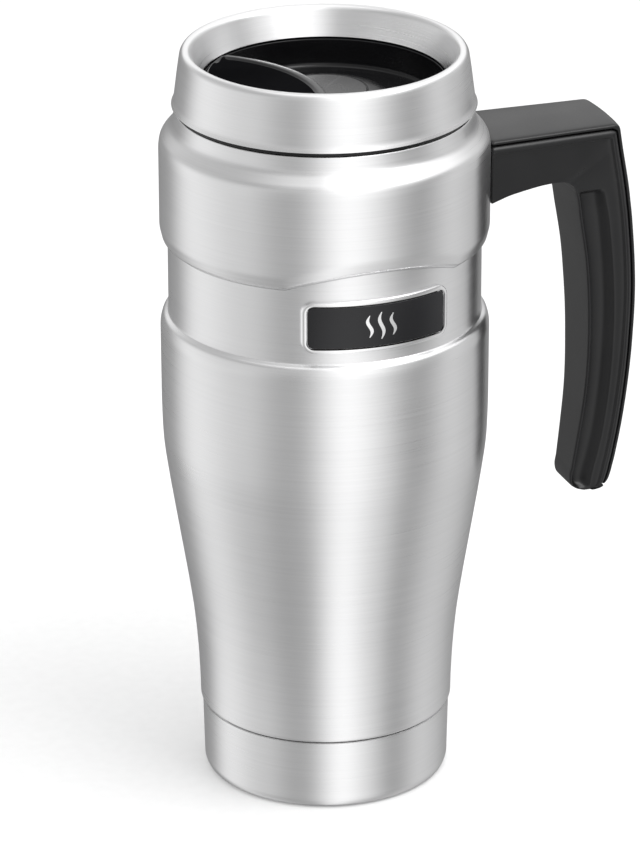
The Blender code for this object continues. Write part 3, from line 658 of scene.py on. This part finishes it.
def make_handle_frame():
    sections = []
    for station, depth in with_depths(STATIONS):
        outer, inner, foot, _ = station
        z = (outer[1] + inner[1]) / 2
        wide = half_width_at((outer[0] + inner[0]) / 2, z)
        band = along([(70, 6.1), (85, 5.7), (100, 5.8), (119, 6.2), (130, 6.6), (149, 7.0), (159, 7.5)], z)
        channel = 1 - fade(inner[1], CHANNEL_TOP_Z - 1.6, CHANNEL_TOP_Z - 0.6) if inner[0] > 64 else 0.0
        channel *= 1 - fade(foot, 0.4, 0.8)
        lift = (FRAME_SHELF - 0.05) * fade(foot, COVER_END, COVER_END + 0.03)
        half = frame_section(wide, depth, band, channel, lift)
        sections.append(placed_section(half, station, 1 - 0.16 * foot ** 3, depth))
    frame_piece = smoothed_loft("handle_frame_fine", sections)
    play = 0.4
    bracket_low, bracket_high = low_of("handle_bracket", 2) - play, high_of("handle_bracket", 2) + play
    half_y = high_of("handle_bracket", 1) + play
    combine(frame_piece, block("plate_pocket", (NECK_R - 3, -half_y, bracket_low),
                               (45.5, half_y, bracket_high)))
    combine(frame_piece, block("tongue_pocket", (NECK_R - 1, -5.9, 166.0),
                               (high_of("handle_bracket", 0) + play, 5.9, 168.8)))
    head_r, shank_r, seat_z = 3.0, 1.9, 171.0
    for node in ("handle_screw_upper", "handle_screw_lower"):
        low_z = low_of(node, 2) - 0.5
        outline = [(0.0, LIP_Z), (head_r, LIP_Z), (head_r, seat_z), (shank_r, seat_z), (shank_r, low_z),
                   (0.0, low_z)]
        hole = lathe("hole", outline, 48, closed=False)
        middle = (low_of(node, 0) + high_of(node, 0)) / 2
        hole.data.transform(Matrix.Translation((middle * MM, 0, 0)))
        combine(frame_piece, hole)
    return sharpened(frame_piece, 40)


def make_handle_cover():
    """The strip along the top and the outer face, set in a little from the frame's sides."""
    sections = []
    kept = [s for s in STATIONS if s[2] < COVER_END]
    thick = HANDLE_SKIN
    for k, (station, depth) in enumerate(with_depths(kept)):
        outer, inner = station[:2]
        wide = half_width_at((outer[0] + inner[0]) / 2, (outer[1] + inner[1]) / 2) - COVER_INSET
        half = [(0.0, 0.0), (wide * 0.5, 0.0), (wide - 1.5, 0.0), (wide - 0.75, 0.05), (wide - 0.24, 0.2),
                (wide, 0.5), (wide, 0.9), (wide - 0.14, 1.08), (wide - 1.3, thick - 0.02),
                (wide * 0.5, thick), (0.0, thick)]
        left = len(kept) - 1 - k
        squeeze = 1.0 if left > 2 else 0.985 + 0.005 * left
        sections.append(placed_section(half, station, squeeze, depth))
    return smoothed_loft("handle_cover_fine", sections)


# ---------------------------------------------------------------- lid

def make_steel_rim():
    dish_edge = LIP_Z - 7.6
    outer = [(31.7, dish_edge, 0.0), (34.45, LIP_Z - 0.75, 0.7), (35.2, LIP_Z, 0.65), (36.7, LIP_Z, 0.7),
             (37.45, LIP_Z - 1.0, 0.9), (38.07, LIP_Z - 5, 3.0), (38.84, LIP_Z - 11, 3.0),
             (39.15, LIP_Z - 13.3, 0.8), (39.74, LIP_Z - 14.6, 0.0)]
    inner = sheet(outer)[1]
    return lathe("lid_steel_rim_fine", rounded(outer, closed=False) + inner)


def lid_outline():
    skirt_r, fillet = 34.0, 1.8
    flange_low = MOUTH_Z + MOUTH_LIFT + 0.3
    foot = low_of("lid_body", 2)
    crown = [(DISH_R, DISH_TOP_Z, 0.25), (32.75, DISH_TOP_Z, 0.2), (33.95, LIP_Z - 5.2, 0.3),
             (37.2, LIP_Z - 5.2, 0.3), (38.2, LIP_Z - 12.7, 0.0), (38.6, LIP_Z - 14.6, 0.0),
             (38.6, LIP_Z - 14.9, 0.0)]
    flange = [(39.1, LIP_Z - 14.9, 0.2), (39.1, flange_low, 0.2), (skirt_r, flange_low, 0.3)]
    wall = [(skirt_r, flange_low - 0.8 - (flange_low - 1.6 - foot - 5.2) * k / 40, 0.0) for k in range(41)]
    groove = [(skirt_r, foot + 4.7, 0.2), (31.3, foot + 4.7, 0.2), (31.3, foot + 1.3, 0.2),
              (32.2, foot + 1.3, 0.2), (32.2, foot, 0.3)]
    inside = [(29.6, foot, 0.3), (29.6, 185.0, 1.0), (16.2, 185.0, 0.6), (16.2, 179.5, 0.4)]
    guide = [(6.0, 179.5, 0.4), (6.0, 171.5, 0.3), (2.3, 171.5, 0.2), (2.3, 173.0, 0.1), (4.6, 173.0, 0.2),
             (4.6, 181.5, 0.2)]
    well = [(14.5, 181.5, 0.4), (14.5, DISH_FLOOR_Z, 0.4)]
    dish = [(DISH_R, DISH_FLOOR_Z, fillet)]
    return crown + flange + wall + groove + inside + guide + well + dish


def make_lid_body():
    thread = ridge(LID_THREAD_Z, 1.7, False)

    def shaped(r, angle, z):
        return thread(r, angle, z) if abs(r - 34.0) < 0.01 and z < MOUTH_Z - 0.3 else (r, z)
    body = lathe("lid_body_fine", rounded(lid_outline(), 6), shape=shaped)
    high, low, spoke = 183.0, 178.0, 1.5
    for quarter in range(4):
        start, end = quarter * 90 + 9, quarter * 90 + 81
        outline = arc((0, 0), (13.2, 13.2), start, end, 18) + arc((0, 0), (7.4, 7.4), end - 3, start + 3, 12)
        cutter = loft("opening", [[(x, y, z) for x, y in outline] for z in (low, high)])
        combine(body, cutter)
    return turn_with_lid(sharpened(body, 50))


def make_valve_cover():
    """Round cover over the middle of the dish, with a hinge for the lever and ports to drink from."""
    top, groove = LIP_Z - 11.0, 11.2
    wall_r, inner_r = -low_of("valve_cover", 0), -low_of("valve_cover", 0) - 1.6
    outline = [(0.0, top, 0.0), (groove - 0.3, top, 0.15), (groove, top - 0.45, 0.1),
               (groove + 0.35, top - 0.1, 0.15), (14.5, top - 0.75, 1.5), (wall_r, top - 1.95, 0.7),
               (wall_r, COVER_FOOT_Z, 0.2), (inner_r, COVER_FOOT_Z, 0.2), (inner_r, 188.6, 0.3),
               (14.8, 189.0, 0.3), (0.0, 189.0, 0.0)]
    cover = lathe("valve_cover_fine", rounded(outline, 6), SMALL_SEGMENTS, closed=False)
    trough_floor = top - 1.7
    combine(cover, block("trough", (PIVOT_X - 2.4, -30, trough_floor), (PIVOT_X + 4.0, 30, LEVER_TOP_Z)))
    for side in (1, -1):
        low, high = sorted((side * 3.3, side * 6.2))
        foot = block("ear_foot", (PIVOT_X - 1.35, low, trough_floor - 0.5), (PIVOT_X + 1.35, high, PIVOT_Z))
        combine(cover, foot, "UNION")
        combine(cover, rod("ear_top", 1.5, PIVOT_X, PIVOT_Z, low, high), "UNION")
        port = block("port", (-30, -4.0, DISH_FLOOR_Z - 1), (30, 4.0, DISH_FLOOR_Z + 1.5))
        port.data.transform(Matrix.Rotation(side * math.pi / 4, 4, "Z"))
        combine(cover, port)
    combine(cover, rod("ear_bore", PIN_R + 0.3, PIVOT_X, PIVOT_Z, -12, 12))
    combine(cover, block("cam_slot", (PIVOT_X - 3.0, -2.9, DISH_FLOOR_Z - 1),
                         (PIVOT_X + 4.2, 2.9, LEVER_TOP_Z)))
    return turn_with_lid(sharpened(cover))


def lever_section(back_x, front_x, y):
    """Side section of the lever's plate: a rounded lip at the front, a shallow dish behind it."""
    low, top = LEVER_LOW_Z, LEVER_TOP_Z
    width = front_x - back_x
    deep = 0.55 * fade(width, 1.5, 9.0)
    lip = min(2.5, width * 0.45)
    edge = min(0.4, width * 0.2)
    points = [(front_x - edge * 0.4, low), (front_x, low + edge), (front_x, top - 0.55),
              (front_x - 0.18, top - 0.2), (front_x - 0.55, top), (front_x - lip + 0.45, top),
              (front_x - lip + 0.1, top - 0.12)]
    inner_x, outer_x = front_x - lip - 0.15, back_x + edge + 0.5
    count = 12
    for k in range(count + 1):
        t = k / count
        share = fade(t, 0.0, 0.16) * (1 - fade(t, 0.8, 1.0))
        points.append((inner_x + (outer_x - inner_x) * t,
                       top - 0.2 * (1 - t) * deep - deep * (0.45 + 0.55 * share)))
    points += [(back_x + edge, top - 0.1), (back_x + 0.1, top - 0.35), (back_x, top - 0.6),
               (back_x, low + edge), (back_x + edge * 0.6, low)]
    span = front_x - back_x
    points += [(back_x + span * s, low) for s in (0.25, 0.5, 0.75)]
    return [(x, y, z) for x, z in points]


def make_lever():
    outer_r, edge_x, edge_r = 30.6, -42.5, 38.1
    corner_x = (outer_r ** 2 - edge_r ** 2 + edge_x ** 2) / (2 * edge_x)
    corner_y = math.sqrt(outer_r ** 2 - corner_x ** 2) - 0.9
    count = 120
    sections = []
    for k in range(count + 1):
        y = -corner_y * math.cos(math.pi * k / count)
        back = -math.sqrt(outer_r ** 2 - y * y)
        front = edge_x + math.sqrt(edge_r ** 2 - y * y)
        sections.append(lever_section(back, front, y))
    plate = loft("lever_fine", sections)
    cam = bpy.data.objects.new("cam", NODES["lever"].data.copy())
    bpy.context.scene.collection.objects.link(cam)
    cam.data.transform(Matrix.Rotation(-LID_ANGLE, 4, "Z"))
    cam_space = block("cam_space", (PIVOT_X - 6, -2.51, PIVOT_Z - 8), (PIVOT_X + 2.9, 2.51, LEVER_LOW_Z + 0.3))
    combine(cam, cam_space, "INTERSECT")
    for side in (1, -1):
        low, high = sorted((side * 2.9, side * 6.6))
        combine(plate, block("ear_pocket", (PIVOT_X - 1.9, low, LEVER_LOW_Z - 2),
                             (PIVOT_X + 3.6, high, PIVOT_Z + 1.85)))
    combine(plate, cam, "UNION")
    combine(plate, rod("lever_bore", PIN_R + 0.3, PIVOT_X, PIVOT_Z, -12, 12))
    return turn_with_lid(sharpened(plate, 38))


def make_valve_spring():
    """A coil whose end turns lie close together."""
    low_z, high_z = low_of("valve_spring", 2), high_of("valve_spring", 2)
    wire = 0.28
    coil_r = high_of("valve_spring", 0) - wire
    coils, around = 5, 36
    count = coils * around
    sections = []
    for k in range(count + 1):
        angle, share = TURN * k / around, k / count
        z = low_z + wire + (high_z - low_z - 2 * wire) * (0.6 * share + 0.4 * fade(share, 0.0, 1.0))
        ring = []
        for j in range(12):
            turned = TURN * j / 12
            r = coil_r + wire * math.cos(turned)
            ring.append((r * math.cos(angle), r * math.sin(angle), z + wire * math.sin(turned)))
        sections.append(ring)
    return loft("valve_spring_fine", sections)


def make_turned_again(node, fillet):
    """A turned CAD piece again with a fine round: its outline is read from the frame's own mesh."""
    mesh = NODES[node].data
    work = bmesh.new()
    work.from_mesh(mesh)
    bmesh.ops.remove_doubles(work, verts=work.verts, dist=0.004 * MM)
    low = {}
    for vertex in work.verts:
        r = math.hypot(vertex.co.x, vertex.co.y)
        low.setdefault((round(r / MM, 2), round(vertex.co.z / MM, 2)), []).append(vertex)
    keys = {v: key for key, vs in low.items() for v in vs}
    links = {}
    for edge in work.edges:
        a, b = (keys[v] for v in edge.verts)
        if a == b:
            continue
        turned = abs(math.atan2(edge.verts[0].co.y, edge.verts[0].co.x)
                     - math.atan2(edge.verts[1].co.y, edge.verts[1].co.x))
        if a[0] < 0.01 or b[0] < 0.01 or turned < 1e-3:
            links.setdefault(a, set()).add(b)
            links.setdefault(b, set()).add(a)
    work.free()
    start = next((k for k in links if k[0] < 0.01), next(iter(links)))
    line, seen = [start], {start}
    while True:
        onward = [k for k in links[line[-1]] if k not in seen]
        if not onward:
            break
        line.append(onward[0])
        seen.add(onward[0])
    on_axis = line[0][0] < 0.01 and line[-1][0] < 0.01
    outline = rounded([(r, z, fillet) for r, z in line], 4, closed=not on_axis)
    return lathe(node + "_fine", outline, SMALL_SEGMENTS, closed=not on_axis)


# ---------------------------------------------------------------- materials

class Graph:
    """Short helpers to build one material's node tree."""

    def __init__(self, name):
        self.material = bpy.data.materials.new(name)
        self.material.use_nodes = True
        self.tree = self.material.node_tree
        self.shader = self.tree.nodes["Principled BSDF"]
        self.place = self.add("ShaderNodeTexCoord").outputs["Object"]

    def add(self, kind, **settings):
        node = self.tree.nodes.new(kind)
        for key, value in settings.items():
            setattr(node, key, value)
        return node

    def link(self, source, target):
        self.tree.links.new(source, target)

    def noise(self, stretch, detail, roughness=0.5):
        """Noise in object space; stretch is how often it changes per metre in X, Y and Z."""
        mapping = self.add("ShaderNodeMapping")
        mapping.inputs["Scale"].default_value = stretch
        self.link(self.place, mapping.inputs["Vector"])
        node = self.add("ShaderNodeTexNoise")
        node.inputs["Scale"].default_value = 1.0
        node.inputs["Detail"].default_value = detail
        node.inputs["Roughness"].default_value = roughness
        self.link(mapping.outputs["Vector"], node.inputs["Vector"])
        return node.outputs["Fac"]

    def ranged(self, source, low, high, from_low=0.3, from_high=0.7):
        node = self.add("ShaderNodeMapRange")
        node.inputs["From Min"].default_value = from_low
        node.inputs["From Max"].default_value = from_high
        node.inputs["To Min"].default_value = low
        node.inputs["To Max"].default_value = high
        self.link(source, node.inputs["Value"])
        return node.outputs["Result"]

    def math(self, operation, a, b):
        node = self.add("ShaderNodeMath", operation=operation)
        for socket, value in zip(node.inputs, (a, b)):
            if isinstance(value, (int, float)):
                socket.default_value = value
            else:
                self.link(value, socket)
        return node.outputs[0]

    def mixed(self, factor, colour_a, colour_b):
        node = self.add("ShaderNodeMix", data_type="RGBA")
        self.link(factor, node.inputs["Factor"])
        node.inputs["A"].default_value = (*colour_a, 1.0)
        node.inputs["B"].default_value = (*colour_b, 1.0)
        return node.outputs["Result"]

    def bump(self, height, strength, distance_mm):
        node = self.add("ShaderNodeBump")
        node.inputs["Strength"].default_value = strength
        node.inputs["Distance"].default_value = distance_mm * MM
        self.link(height, node.inputs["Height"])
        self.link(node.outputs["Normal"], self.shader.inputs["Normal"])

    def level_patch(self, low, high):
        """1 on the piece's upward faces between two heights in millimetres, 0 elsewhere."""
        spot, facing = self.add("ShaderNodeSeparateXYZ"), self.add("ShaderNodeSeparateXYZ")
        self.link(self.place, spot.inputs["Vector"])
        self.link(self.add("ShaderNodeTexCoord").outputs["Normal"], facing.inputs["Vector"])
        between = self.math("MULTIPLY", self.math("GREATER_THAN", spot.outputs["Z"], low * MM),
                            self.math("LESS_THAN", spot.outputs["Z"], high * MM))
        return self.math("MULTIPLY", between, self.math("GREATER_THAN", facing.outputs["Z"], 0.93))

    def edges(self, low=0.505, high=0.56):
        """1 on outward edges, 0 on flat faces."""
        node = self.add("ShaderNodeNewGeometry")
        return self.ranged(node.outputs["Pointiness"], 0.0, 1.0, low, high)


def brushed_steel(name, tone, roughness, anisotropy=0.75, grain=1.0):
    """Steel brushed round its axis: fine rings in tone, roughness and height, with faint smudges."""
    g = Graph(name)
    fine = g.noise((35.0, 35.0, 9000.0), 4.0, 0.65)
    coarse = g.noise((14.0, 14.0, 1500.0), 2.0)
    smudge = g.noise((28.0, 28.0, 22.0), 3.0)
    streaks = g.math("ADD", g.math("MULTIPLY", fine, 0.65), g.math("MULTIPLY", coarse, 0.35))
    dark = tuple(tone * s * (1 - 0.055 * grain) for s in (1.0, 1.0, 1.005))
    light = tuple(min(tone * s * (1 + 0.035 * grain), 1.0) for s in (1.0, 1.0, 1.005))
    g.link(g.mixed(g.ranged(streaks, 0.0, 1.0), dark, light), g.shader.inputs["Base Color"])
    rough = g.math("ADD", g.ranged(streaks, roughness - 0.04, roughness + 0.04),
                   g.ranged(smudge, -0.015, 0.03))
    rough = g.math("SUBTRACT", rough, g.math("MULTIPLY", g.edges(), 0.06))
    g.link(rough, g.shader.inputs["Roughness"])
    g.shader.inputs["Metallic"].default_value = 1.0
    g.shader.inputs["Anisotropic"].default_value = anisotropy
    g.shader.inputs["Anisotropic Rotation"].default_value = 0.25
    tangent = g.add("ShaderNodeTangent", direction_type="RADIAL", axis="Z")
    g.link(tangent.outputs["Tangent"], g.shader.inputs["Tangent"])
    g.bump(streaks, 0.06 * grain, 0.02)
    return g.material


def moulded_plastic(name, colour, roughness, texture=0.3, coat=0.0, shine=0.4, painted_shade_heights=None):
    """Moulded plastic: a fine eggshell grain, uneven gloss, and edges polished by hands. Upward faces
    between the two given heights lose their specular and coat: painted shade that renders the lever's dished top
    dark."""
    g = Graph(name)
    g.shader.inputs["Specular IOR Level"].default_value = shine
    # Painted shade: no specular and no coat on the upward faces between the heights, so the lever's recess renders
    # dark.
    if painted_shade_heights:
        patch = g.level_patch(*painted_shade_heights)
        g.link(g.math("SUBTRACT", shine, g.math("MULTIPLY", patch, shine)),
               g.shader.inputs["Specular IOR Level"])
        g.link(g.math("SUBTRACT", coat, g.math("MULTIPLY", patch, coat)), g.shader.inputs["Coat Weight"])
    grain = g.noise((2600.0, 2600.0, 2600.0), 2.0)
    patches = g.noise((45.0, 45.0, 45.0), 4.0)
    wear = g.edges(0.51, 0.6)
    lighter = tuple(c * 1.7 + 0.004 for c in colour)
    tone = g.math("ADD", g.ranged(patches, 0.0, 0.55), g.math("MULTIPLY", wear, 0.45))
    g.link(g.mixed(tone, colour, lighter), g.shader.inputs["Base Color"])
    rough = g.math("ADD", g.ranged(patches, roughness - 0.04, roughness + 0.05),
                   g.ranged(grain, -0.02, 0.02))
    rough = g.math("SUBTRACT", rough, g.math("MULTIPLY", wear, 0.08))
    g.link(rough, g.shader.inputs["Roughness"])
    if not painted_shade_heights:
        g.shader.inputs["Coat Weight"].default_value = coat
    g.shader.inputs["Coat Roughness"].default_value = 0.08
    g.bump(grain, texture, 0.015)
    return g.material


def silicone(name):
    g = Graph(name)
    dust = g.noise((900.0, 900.0, 900.0), 5.0)
    patches = g.noise((60.0, 60.0, 60.0), 2.0)
    g.link(g.mixed(g.ranged(dust, 0.0, 1.0), (0.085, 0.085, 0.09), (0.14, 0.14, 0.145)),
           g.shader.inputs["Base Color"])
    g.link(g.ranged(patches, 0.55, 0.72), g.shader.inputs["Roughness"])
    g.shader.inputs["Sheen Weight"].default_value = 0.2
    g.bump(dust, 0.15, 0.02)
    return g.material


def sintered_metal(name):
    g = Graph(name)
    grains = g.add("ShaderNodeTexVoronoi")
    grains.inputs["Scale"].default_value = 3500.0
    g.link(g.place, grains.inputs["Vector"])
    distance = grains.outputs["Distance"]
    g.link(g.mixed(g.ranged(distance, 0.0, 1.0, 0.0, 0.8), (0.34, 0.32, 0.3), (0.2, 0.19, 0.18)),
           g.shader.inputs["Base Color"])
    g.shader.inputs["Metallic"].default_value = 0.9
    g.link(g.ranged(distance, 0.6, 0.9, 0.0, 0.8), g.shader.inputs["Roughness"])
    g.bump(distance, 0.4, 0.05)
    return g.material


def make_materials():
    return {
        "brushed_steel": brushed_steel("brushed_steel", 0.80, 0.30),
        "liner_steel": brushed_steel("liner_steel", 0.66, 0.26, 0.3, 0.6),
        "badge_metal": brushed_steel("badge_metal", 0.88, 0.18, 0.2, 0.5),
        "hardware_steel": brushed_steel("hardware_steel", 0.65, 0.28, 0.2, 0.6),
        "badge_black": moulded_plastic("badge_black", (0.006, 0.006, 0.007), 0.2, 0.04, 0.1, 0.3),
        "handle_plastic": moulded_plastic("handle_plastic", (0.006, 0.006, 0.0065), 0.34, 0.2, 0.0, 0.36),
        # The lever's dished top between these heights gets painted shade: it is made matt so that it renders dark.
        "lid_plastic": moulded_plastic("lid_plastic", (0.004, 0.004, 0.0045), 0.24, 0.06, 0.1, 0.25,
                                       (LEVER_LOW_Z + 0.3, LEVER_TOP_Z - 0.15)),
        "valve_plastic": moulded_plastic("valve_plastic", (0.02, 0.02, 0.022), 0.42, 0.2),
        "silicone": silicone("silicone"),
        "getter_metal": sintered_metal("getter_metal"),
    }


# ---------------------------------------------------------------- assembly

SLOTS = {row["node"]: row["material_slot"] for row in frame["record"]["subparts"]}
BODIES = {node: body for body, nodes in frame["record"]["behaviour"]["bodies"].items() for node in nodes}


def paint(item, material):
    item.data.materials.clear()
    item.data.materials.append(material)


def stands_for(item, node, materials):
    """The piece takes the CAD node's place, body and finish."""
    paint(item, materials[SLOTS[node]])
    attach(item, BODIES[node])
    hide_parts(node)


def build_pieces(materials):
    made = {
        "outer_shell": make_outer_shell(), "inner_liner": make_inner_liner(), "base_cup": make_base_cup(),
        "badge_plate": make_badge_plate(), "badge_inlay": make_badge_inlay(),
        "handle_frame": make_handle_frame(), "handle_cover": make_handle_cover(),
        "lid_steel_rim": make_steel_rim(), "lid_body": make_lid_body(), "valve_cover": make_valve_cover(),
        "lever": make_lever(), "valve_spring": make_valve_spring(),
    }
    for node, fillet in (("lid_base", 0.3), ("lid_gasket", 0.25), ("valve_disc", 0.2), ("valve_seal", 0.2),
                         ("vacuum_seal", 0.2), ("shell_bottom", 0.15), ("getter", 0.2)):
        made[node] = make_turned_again(node, fillet)
    for node, item in made.items():
        stands_for(item, node, materials)
    spring = made["valve_spring"]
    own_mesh(spring)
    for item in make_badge_marks():
        paint(item, materials["badge_metal"])
        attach(item, "mug_body")
    for node, item in NODES.items():
        if node not in made:
            paint(item, materials[SLOTS[node]])


# ---------------------------------------------------------------- stage, light and camera

def make_floor():
    work = bmesh.new()
    bmesh.ops.create_grid(work, x_segments=1, y_segments=1, size=6.0)
    floor = finished("floor", work)
    g = Graph("floor_white")
    speckle = g.noise((300.0, 300.0, 300.0), 2.0)
    g.link(g.mixed(g.ranged(speckle, 0.0, 1.0), (0.90, 0.90, 0.90), (0.92, 0.92, 0.92)),
           g.shader.inputs["Base Color"])
    g.shader.inputs["Roughness"].default_value = 0.6
    g.shader.inputs["Specular IOR Level"].default_value = 0.2
    paint(floor, g.material)
    floor.visible_glossy = False


CAMERA_AZIMUTH, CAMERA_PITCH, CAMERA_ROLL = -20.05, 22.86, -0.146
# Rings of studio panels as (height of the direction, panels); a panel is (degrees round from the camera,
# positive to the right, brightness). Between two rings the light changes smoothly.
WALL_PANELS = ((-180, 0.22), (-140, 0.36), (-106, 1.07), (-60, 0.84), (-23, 0.48), (16, 1.30), (68, 0.385),
               (98, 0.77), (122, 0.62), (150, 0.38), (180, 0.22))
PANEL_RINGS = (
    (-0.66, ((-180, 0.20), (-140, 0.30), (-106, 0.90), (-62, 0.48), (-38, 0.38), (-20, 0.46), (16, 1.26),
             (46, 0.80), (68, 0.40), (96, 0.62), (122, 0.66), (150, 0.40), (180, 0.20))),
    (-0.40, WALL_PANELS),
    (0.04, WALL_PANELS),
    (0.34, ((-180, 1.35), (-120, 0.64), (-68, 0.72), (-48, 0.80), (-16, 0.60), (14, 1.45), (34, 1.15),
            (54, 0.45), (80, 0.25), (110, 0.60), (180, 1.35))),
    (0.52, ((-180, 1.10), (-120, 0.60), (-50, 0.40), (-16, 0.62), (8, 1.25), (44, 1.30), (100, 1.50),
            (140, 1.55), (180, 1.10))),
    (0.78, ((-180, 0.90), (-120, 0.62), (-50, 0.50), (-14, 0.60), (10, 1.45), (60, 1.90), (105, 1.80),
            (140, 1.20), (180, 0.90))),
    (0.98, ((-180, 1.40), (0, 1.40), (180, 1.40))),
)
FLOOR_DOME = 1.08  # even light for everything that is not a reflection


def panel_ramp(tree, azimuth, panels):
    ramp = tree.nodes.new("ShaderNodeValToRGB")
    ramp.color_ramp.interpolation = "EASE"
    stops = ramp.color_ramp.elements
    while len(stops) < len(panels):
        stops.new(0.5)
    for stop, (degrees, level) in zip(stops, panels):
        stop.position = (degrees + 180) / 360
        stop.color = (level, level, level, 1.0)
    tree.links.new(azimuth, ramp.inputs["Fac"])
    return ramp.outputs["Color"]


def make_world():
    """White to the camera, and a ring of soft bright and dark studio panels to everything else."""
    world = bpy.data.worlds.new("studio")
    bpy.context.scene.world = world
    world.use_nodes = True
    tree = world.node_tree
    add, link = tree.nodes.new, tree.links.new
    turned_back = add("ShaderNodeVectorRotate")
    turned_back.rotation_type = "Z_AXIS"
    turned_back.inputs["Angle"].default_value = -math.radians(CAMERA_AZIMUTH)
    link(add("ShaderNodeTexCoord").outputs["Generated"], turned_back.inputs["Vector"])
    parts = add("ShaderNodeSeparateXYZ")
    link(turned_back.outputs["Vector"], parts.inputs["Vector"])
    ahead = add("ShaderNodeMath")
    ahead.operation = "MULTIPLY"
    ahead.inputs[1].default_value = -1.0
    link(parts.outputs["Y"], ahead.inputs[0])
    angle = add("ShaderNodeMath")
    angle.operation = "ARCTAN2"
    link(parts.outputs["X"], angle.inputs[0])
    link(ahead.outputs[0], angle.inputs[1])
    share = add("ShaderNodeMapRange")
    share.inputs["From Min"].default_value = -math.pi
    share.inputs["From Max"].default_value = math.pi
    link(angle.outputs[0], share.inputs["Value"])
    colour = panel_ramp(tree, share.outputs["Result"], PANEL_RINGS[0][1])
    for (low, panels), (high, next_panels) in zip(PANEL_RINGS, PANEL_RINGS[1:]):
        if next_panels is panels:
            continue
        height = add("ShaderNodeMapRange")
        height.interpolation_type = "SMOOTHSTEP"
        height.inputs["From Min"].default_value = low
        height.inputs["From Max"].default_value = high
        link(parts.outputs["Z"], height.inputs["Value"])
        mix = add("ShaderNodeMix")
        mix.data_type = "RGBA"
        link(height.outputs["Result"], mix.inputs["Factor"])
        link(colour, mix.inputs["A"])
        link(panel_ramp(tree, share.outputs["Result"], next_panels), mix.inputs["B"])
        colour = mix.outputs["Result"]
    path = add("ShaderNodeLightPath")
    even = add("ShaderNodeMix")
    even.data_type = "RGBA"
    link(path.outputs["Is Diffuse Ray"], even.inputs["Factor"])
    link(colour, even.inputs["A"])
    even.inputs["B"].default_value = (FLOOR_DOME, FLOOR_DOME, FLOOR_DOME, 1.0)
    seen = add("ShaderNodeMix")
    seen.data_type = "RGBA"
    link(path.outputs["Is Camera Ray"], seen.inputs["Factor"])
    link(even.outputs["Result"], seen.inputs["A"])
    seen.inputs["B"].default_value = (1.0, 1.0, 1.0, 1.0)
    link(seen.outputs["Result"], tree.nodes["Background"].inputs["Color"])


def softbox(name, azimuth_deg, elevation_deg, distance, size, power):
    """An area light aimed at the mug. Azimuth 0 is in front of the badge, positive towards the handle."""
    a, e = math.radians(azimuth_deg), math.radians(elevation_deg)
    light = bpy.data.lights.new(name, "AREA")
    light.shape = "RECTANGLE"
    light.size, light.size_y = size
    light.energy = power
    item = bpy.data.objects.new(name, light)
    bpy.context.scene.collection.objects.link(item)
    target = Vector((0.0, 0.0, 0.11))
    away = Vector((math.sin(a) * math.cos(e), -math.cos(a) * math.cos(e), math.sin(e)))
    item.location = target + distance * away
    item.rotation_euler = (item.location - target).to_track_quat("Z", "Y").to_euler()
    return item


def make_lights():
    softbox("key", CAMERA_AZIMUTH + 60, 60, 0.9, (0.60, 0.42), 3.2)


def make_camera():
    """A long lens above the mug's rim, a little to the left of the badge."""
    azimuth, pitch, roll = (math.radians(v) for v in (CAMERA_AZIMUTH, CAMERA_PITCH, CAMERA_ROLL))
    place = Vector((-0.4500, -1.2291, 0.6502))
    ahead = Vector((-math.sin(azimuth), math.cos(azimuth), 0.0))
    right = Vector((math.cos(azimuth), math.sin(azimuth), 0.0))
    forward = ahead * math.cos(pitch) - Vector((0, 0, math.sin(pitch)))
    up = ahead * math.sin(pitch) + Vector((0, 0, math.cos(pitch)))
    turned_right = right * math.cos(roll) + up * math.sin(roll)
    turned_up = up * math.cos(roll) - right * math.sin(roll)
    camera = bpy.data.cameras.new("camera")
    camera.lens = 228.3
    camera.sensor_width = 36.0
    camera.clip_start, camera.clip_end = 0.05, 30.0
    item = bpy.data.objects.new("camera", camera)
    bpy.context.scene.collection.objects.link(item)
    axes = Matrix((turned_right, turned_up, -forward)).transposed().to_4x4()
    item.matrix_world = Matrix.Translation(place) @ axes
    bpy.context.scene.camera = item


build_pieces(make_materials())
make_floor()
make_world()
make_lights()
make_camera()
bpy.context.scene.view_settings.view_transform = "Standard"


def plain(bounds):
    return [[float(value) for value in corner] for corner in bounds]
